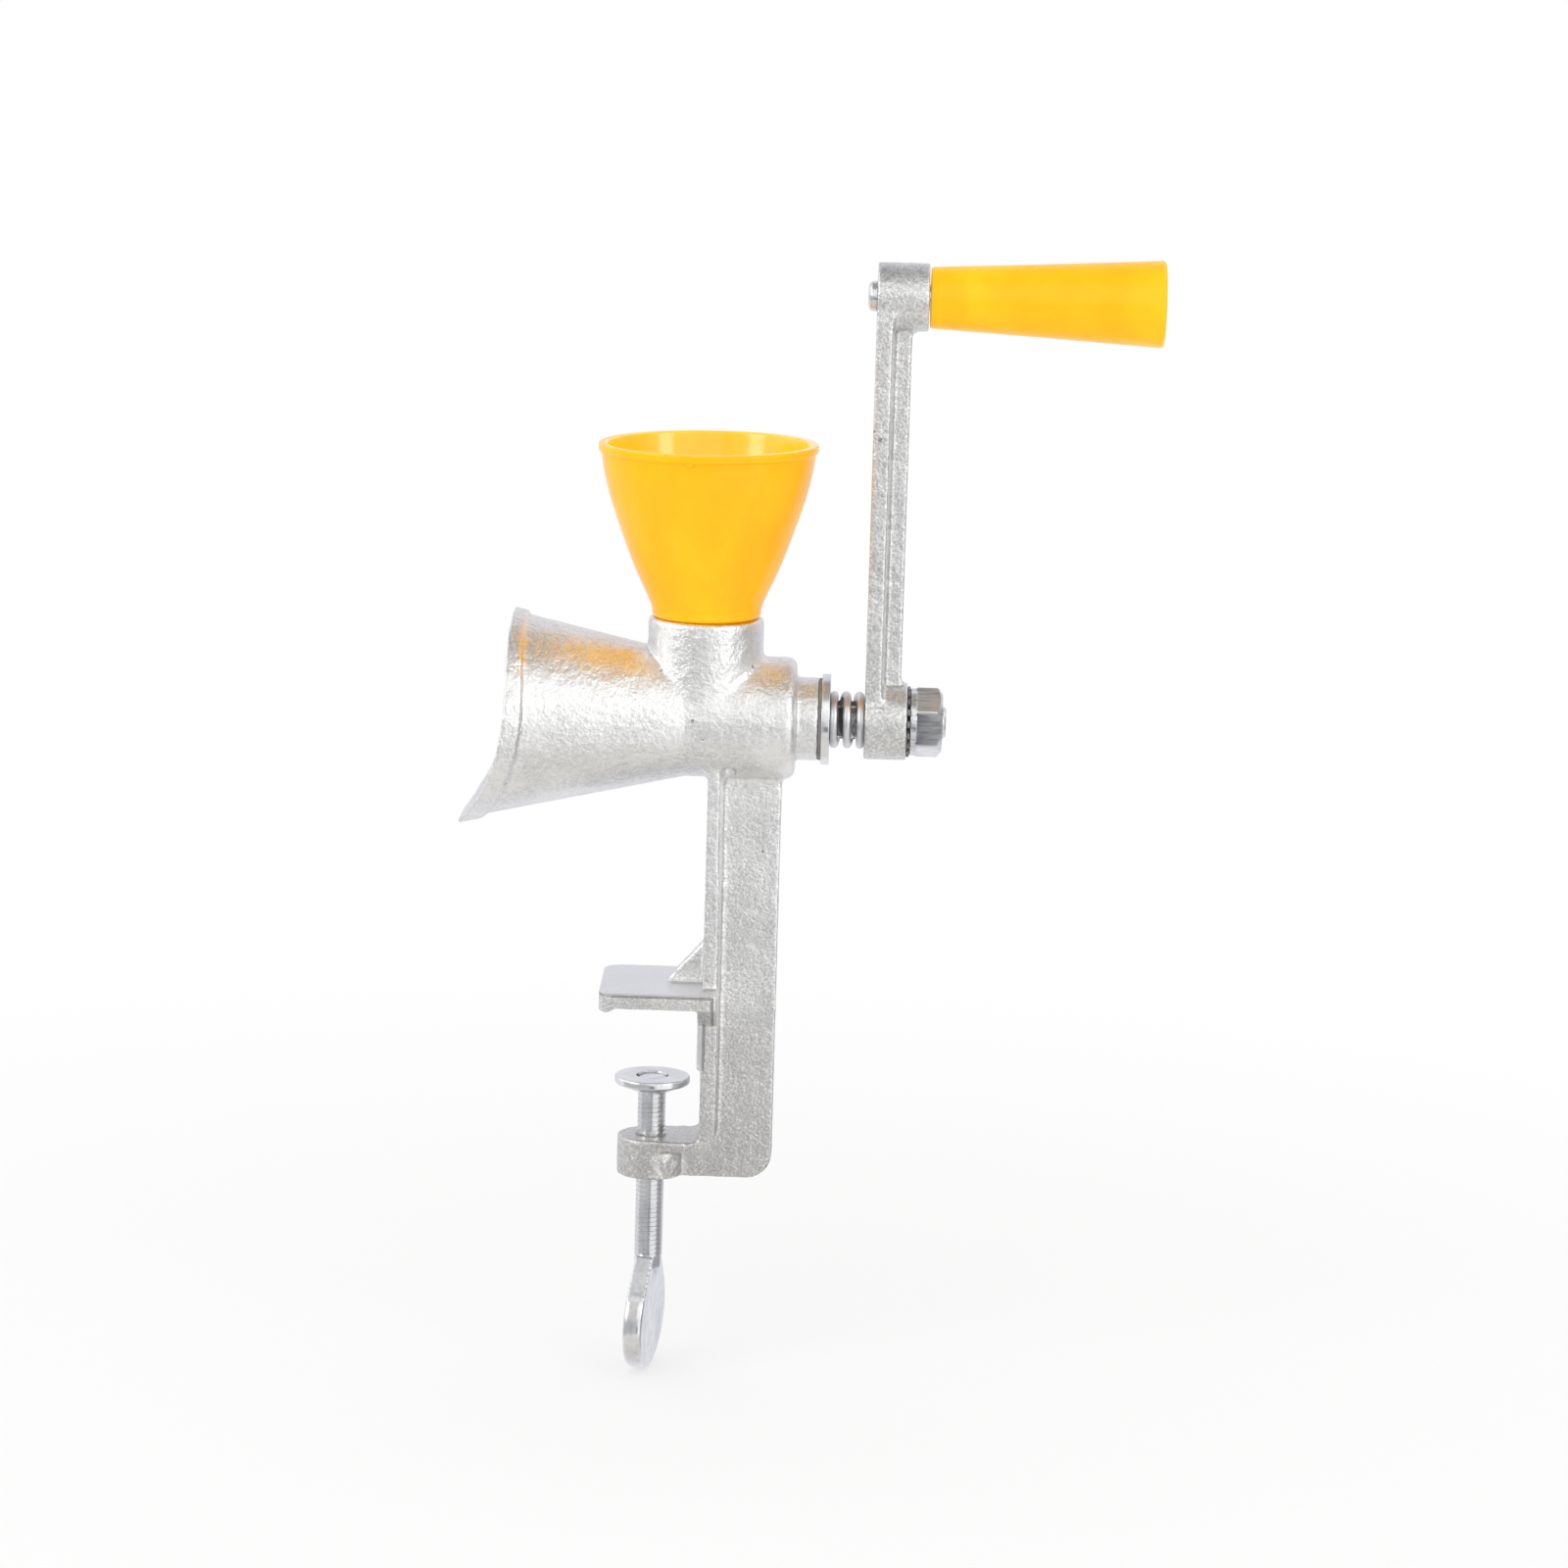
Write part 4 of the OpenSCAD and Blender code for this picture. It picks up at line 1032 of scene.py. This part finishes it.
class GRINDER_OT_burrs(bpy.types.Operator):
    """Finishes for the burrs, the auger and their fasteners, which keep their shape"""
    bl_idname = "grinder.burrs"
    bl_label = "Burrs and auger"

    def execute(self, context):
        for slot, nodes in (
                ("burr_iron", ("burr_ring", "burr_cone", "feed_auger")),
                ("zinc_steel", ("drive_pin", "cone_washer", "cone_screw"))):
            for node in nodes:
                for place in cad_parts[node].material_slots:
                    place.material = finish_for(slot)
        return {"FINISHED"}


class GRINDER_OT_clamp_screw(bpy.types.Operator):
    """Threaded clamp screw with its forged thumb plate"""
    bl_idname = "grinder.clamp_screw"
    bl_label = "Clamp screw"

    def execute(self, context):
        middle, band, inner, outer = 1.75, 2.1, 6.6, 8.6
        piece = lathe("thumb_plate", [
            (-middle, 0), (-middle, inner, 1.5), (-band, outer, 0.5), (-band, PLATE_RADIUS, 1.6),
            (band, PLATE_RADIUS, 1.6), (band, outer, 0.5), (middle, inner, 1.5), (middle, 0)],
            (0, 0, PLATE_CENTRE * MM), "X", 96)
        join(piece, prism("plate_shoulder", [
            (-3.5, PLATE_CENTRE + 14.0), (3.5, PLATE_CENTRE + 14.0), (9.6, PLATE_CENTRE + 5.6),
            (-9.6, PLATE_CENTRE + 5.6)], -1.95, 1.95, "X"))
        top = Vector((0, 0, NECK_TOP * MM))
        lean, twist = Matrix.Rotation(math.radians(2.5), 4, "Y"), Matrix.Rotation(math.radians(-11.5), 4, "Z")
        piece.matrix_world = Matrix.Translation(top) @ lean @ twist @ Matrix.Translation(-top)
        settle(piece)
        join(piece, lathe("plate_neck", [
            (-61.3, 0), (-61.3, 2.0), (-59.0, 2.9, 1.5), (-57.4, 2.95, 0.5), (-56.4, 2.75), (-56.4, 0)],
            (0, 0, 0), "Z", 48))
        blend_corners(piece, voxel=0.00022)
        modify(piece, "SMOOTH", factor=0.5, iterations=6)
        rod = thread(
            "clamp_thread", top, "Z", radius=0.00295, depth=0.0002, pitch=0.001, length=0.0362, flat=0.28)
        tip = lathe("clamp_tip", [
            (-21.2, 0), (-21.2, 2.0), (-18.5, 2.0), (-18.5, 3.15, 0.15), (-17.9, 3.1, 0.3),
            (-17.55, 2.0, 0.4), (-17.5, 0)], (0, 0, 0), "Z", 48)
        join(piece, rod, tip)
        piece.name = piece.data.name = "clamp_screw_with_plate"
        shade_round(piece, 40)
        finished(piece, "screw", "zinc_steel", "clamp_screw")
        return {"FINISHED"}


class GRINDER_OT_clamp_pad(bpy.types.Operator):
    """Swivelling pad on the tip of the clamp screw"""
    bl_idname = "grinder.clamp_pad"
    bl_label = "Clamp pad"

    def execute(self, context):
        hole, face = 2.1, -17.3
        pad = lathe("swivel_pad", [
            (-19, hole), (-20.3, hole, 0.2), (-20.3, 4.6, 0.3), (-19.6, 5.4, 0.5), (-19.1, 7.6, 0.5),
            (-18.7, 8, 0.4), (face, 8, 0.5), (face, 3.4, 0.2), (-18.6, 3.4, 0.2), (-18.6, hole, 0.1),
            (-19, hole)], (0, 0, 0), "Z", 72)
        finished(pad, "pad", "zinc_steel", "clamp_pad")
        return {"FINISHED"}


# Stage

def lay_floor(scene):
    """A pale floor that keeps the shadow, fades to white far out and isn't mirrored in the metal."""
    bpy.ops.object.select_all(action="DESELECT")
    bpy.ops.mesh.primitive_plane_add(size=6, location=(0, 0, CAD_BOX[0][2] - 0.0002))
    floor = named("floor")
    settle(floor)
    finish = Finish("pale floor", Roughness=0.9)
    colour = scene.grinder_colours.floor
    grain = finish.noise(0.02, 2)
    finish.paint(Base_Color=finish.mix(grain, shade(colour, 0.995), colour))
    straight, mirrored = finish.rays()
    reach = finish.node("ShaderNodeVectorMath", {"operation": "LENGTH"}, {0: finish.place}, output="Value")
    glow = finish.node("ShaderNodeEmission", None, {"Color": (1, 1, 1), "Strength": 1.0})
    clear = finish.node("ShaderNodeBsdfTransparent")
    pale = finish.node("ShaderNodeMixShader", None, {
        0: straight * (0.55 + reach.between(0.10, 0.45) * 0.45), 1: Term(finish, finish.shader.outputs[0]),
        2: glow})
    shown = finish.node("ShaderNodeMixShader", None, {0: mirrored, 1: pale, 2: clear})
    finish.feed(finish.output.inputs[0], shown)
    floor.data.materials.append(finish.material)


def room_seen(room):
    """What metal mirrors from each side. Turn is 0 towards the camera and grows to the right."""
    right, away, up = room.axes(room.node("ShaderNodeTexCoord", output="Generated"))
    turn = right.maths("ARCTAN2", right, -away)
    walls = room.mix(away.between(0.1, 0.6), WHITE_METAL, (0.82, 0.82, 0.87))
    lamp = turn.within(-0.22, 1.1, 0.15) * up.within(0.22, 0.72, 0.14)
    left_wall = turn.within(-2.1, -0.72, 0.08) * up.within(0.04, 0.75, 0.08)
    dark_wall = turn.within(1.25, 2.1, 0.12) * (1 - up.between(0.25, 0.6))
    screen = turn.within(-0.62, -0.26, 0.06) * up.within(-0.10, 0.65, 0.12)
    grey_wall = turn.within(-1.6, -0.05, 0.1) * up.within(-0.42, 0.02, 0.06)
    bright_wall = turn.within(0.30, 1.12, 0.05) * up.within(-0.42, 0.40, 0.08)
    doorway = turn.within(-0.05, 0.15, 0.04) * up.within(-0.38, -0.19, 0.03)
    strips = (turn.within(-1.12, -0.84, 0.05) + turn.within(0.80, 1.08, 0.05)) * up.within(0.12, 0.45, 0.06)
    ceiling = up.between(0.75, 0.92)
    table = (-up).between(0.4, 0.65)
    table_top = room.mix(away.between(0.1, 0.5), (0.78, 0.765, 0.73), (0.92, 0.92, 0.96))
    return room.layers(
        walls,
        (lamp, (1.16, 1.16, 1.15)),
        (left_wall, (1.25, 1.25, 1.25)),
        (dark_wall * 0.85, (0.34, 0.34, 0.35)),
        (screen * 0.9, (0.68, 0.665, 0.635)),
        (grey_wall * 0.85, (0.50, 0.50, 0.52)),
        (bright_wall, (1.12, 1.12, 1.13)),
        (doorway, (0.08, 0.08, 0.09)),
        (strips, (4.0, 4.0, 3.9)),
        (ceiling, (0.40, 0.395, 0.39)),
        (table, table_top))


def surround(scene):
    """A world that is white to the camera, a studio room to metal and an even soft light to the rest."""
    world = bpy.data.worlds.new("studio")
    world.use_nodes = True
    scene.world = world
    room = Nodes(world.node_tree)

    def background(colour, strength):
        return room.node("ShaderNodeBackground", None, {"Color": colour, "Strength": strength})

    straight, mirrored = room.rays()
    white, even = (1, 1, 1), 0.78
    met = room.node("ShaderNodeMixShader", None, {
        0: mirrored, 1: background(white, even), 2: background(room_seen(room), 1.0)})
    both = room.node("ShaderNodeMixShader", None, {0: straight, 1: met, 2: background(white, 1.0)})
    room.feed(room.tree.nodes.new("ShaderNodeOutputWorld").inputs[0], both)


def card(name, place, size, power):
    """A soft area lamp that shines on the middle of the grinder and isn't mirrored in its metal."""
    lamp = bpy.data.lights.new(name, "AREA")
    lamp.shape = "RECTANGLE"
    lamp.size, lamp.size_y = size
    lamp.energy = power
    holder = bpy.data.objects.new(name, lamp)
    holder.location = place
    middle = Vector((0.03, 0, 0.05))
    holder.rotation_euler = (middle - Vector(place)).to_track_quat("-Z", "Y").to_euler()
    holder.visible_glossy = False
    bpy.context.scene.collection.objects.link(holder)


def set_camera(scene):
    lens = bpy.data.cameras.new("camera")
    lens.lens = scene.grinder_sizes.lens
    lens.sensor_width = 36
    lens.clip_start = 0.01
    camera = bpy.data.objects.new("camera", lens)
    camera.location = (0.040, -1.1, 0.25)
    yaw, pitch, roll = math.radians(-0.72), math.radians(10.49), math.radians(1.635)
    ahead = Vector((math.sin(yaw) * math.cos(pitch), math.cos(yaw) * math.cos(pitch), -math.sin(pitch)))
    turn = ahead.to_track_quat("-Z", "Y") @ Quaternion((0, 0, 1), roll)
    camera.rotation_euler = turn.to_euler()
    scene.collection.objects.link(camera)
    scene.camera = camera


class GRINDER_OT_stage(bpy.types.Operator):
    """White floor and surroundings, soft lamps and the camera"""
    bl_idname = "grinder.stage"
    bl_label = "Stage"

    def execute(self, context):
        scene = context.scene
        scene.view_settings.view_transform = "Standard"
        lay_floor(scene)
        surround(scene)
        card("key card", (-0.55, -0.95, 0.75), (1.5, 1.2), 6.4)
        card("fill card", (0.70, -0.85, 0.40), (0.8, 1.3), 1.6)
        card("top card", (0.05, 0.35, 1.1), (1.4, 1.0), 1.3)
        set_camera(scene)
        return {"FINISHED"}


PIECES = (
    GRINDER_OT_stage, GRINDER_OT_casting, GRINDER_OT_hopper, GRINDER_OT_crank, GRINDER_OT_handle,
    GRINDER_OT_washers, GRINDER_OT_spring, GRINDER_OT_nut, GRINDER_OT_shaft, GRINDER_OT_burrs,
    GRINDER_OT_clamp_screw, GRINDER_OT_clamp_pad)


class GRINDER_PT_panel(bpy.types.Panel):
    """The grinder's sizes, colours and pieces"""
    bl_label = "Grinder"
    bl_idname = "GRINDER_PT_panel"
    bl_space_type = "VIEW_3D"
    bl_region_type = "UI"
    bl_category = "Grinder"

    def draw(self, context):
        for group in (context.scene.grinder_sizes, context.scene.grinder_colours):
            for name in group.__annotations__:
                self.layout.prop(group, name)
        for piece in PIECES:
            self.layout.operator(piece.bl_idname)


KINDS = (GrinderSizes, GrinderColours, *PIECES, GRINDER_PT_panel)


def register():
    for kind in KINDS:
        bpy.utils.register_class(kind)
    bpy.types.Scene.grinder_sizes = bpy.props.PointerProperty(type=GrinderSizes)
    bpy.types.Scene.grinder_colours = bpy.props.PointerProperty(type=GrinderColours)


def unregister():
    del bpy.types.Scene.grinder_colours
    del bpy.types.Scene.grinder_sizes
    for kind in reversed(KINDS):
        bpy.utils.unregister_class(kind)


def main():
    register()
    for piece in PIECES:
        group, name = piece.bl_idname.split(".")
        getattr(getattr(bpy.ops, group), name)()


if __name__ == "__main__":
    main()
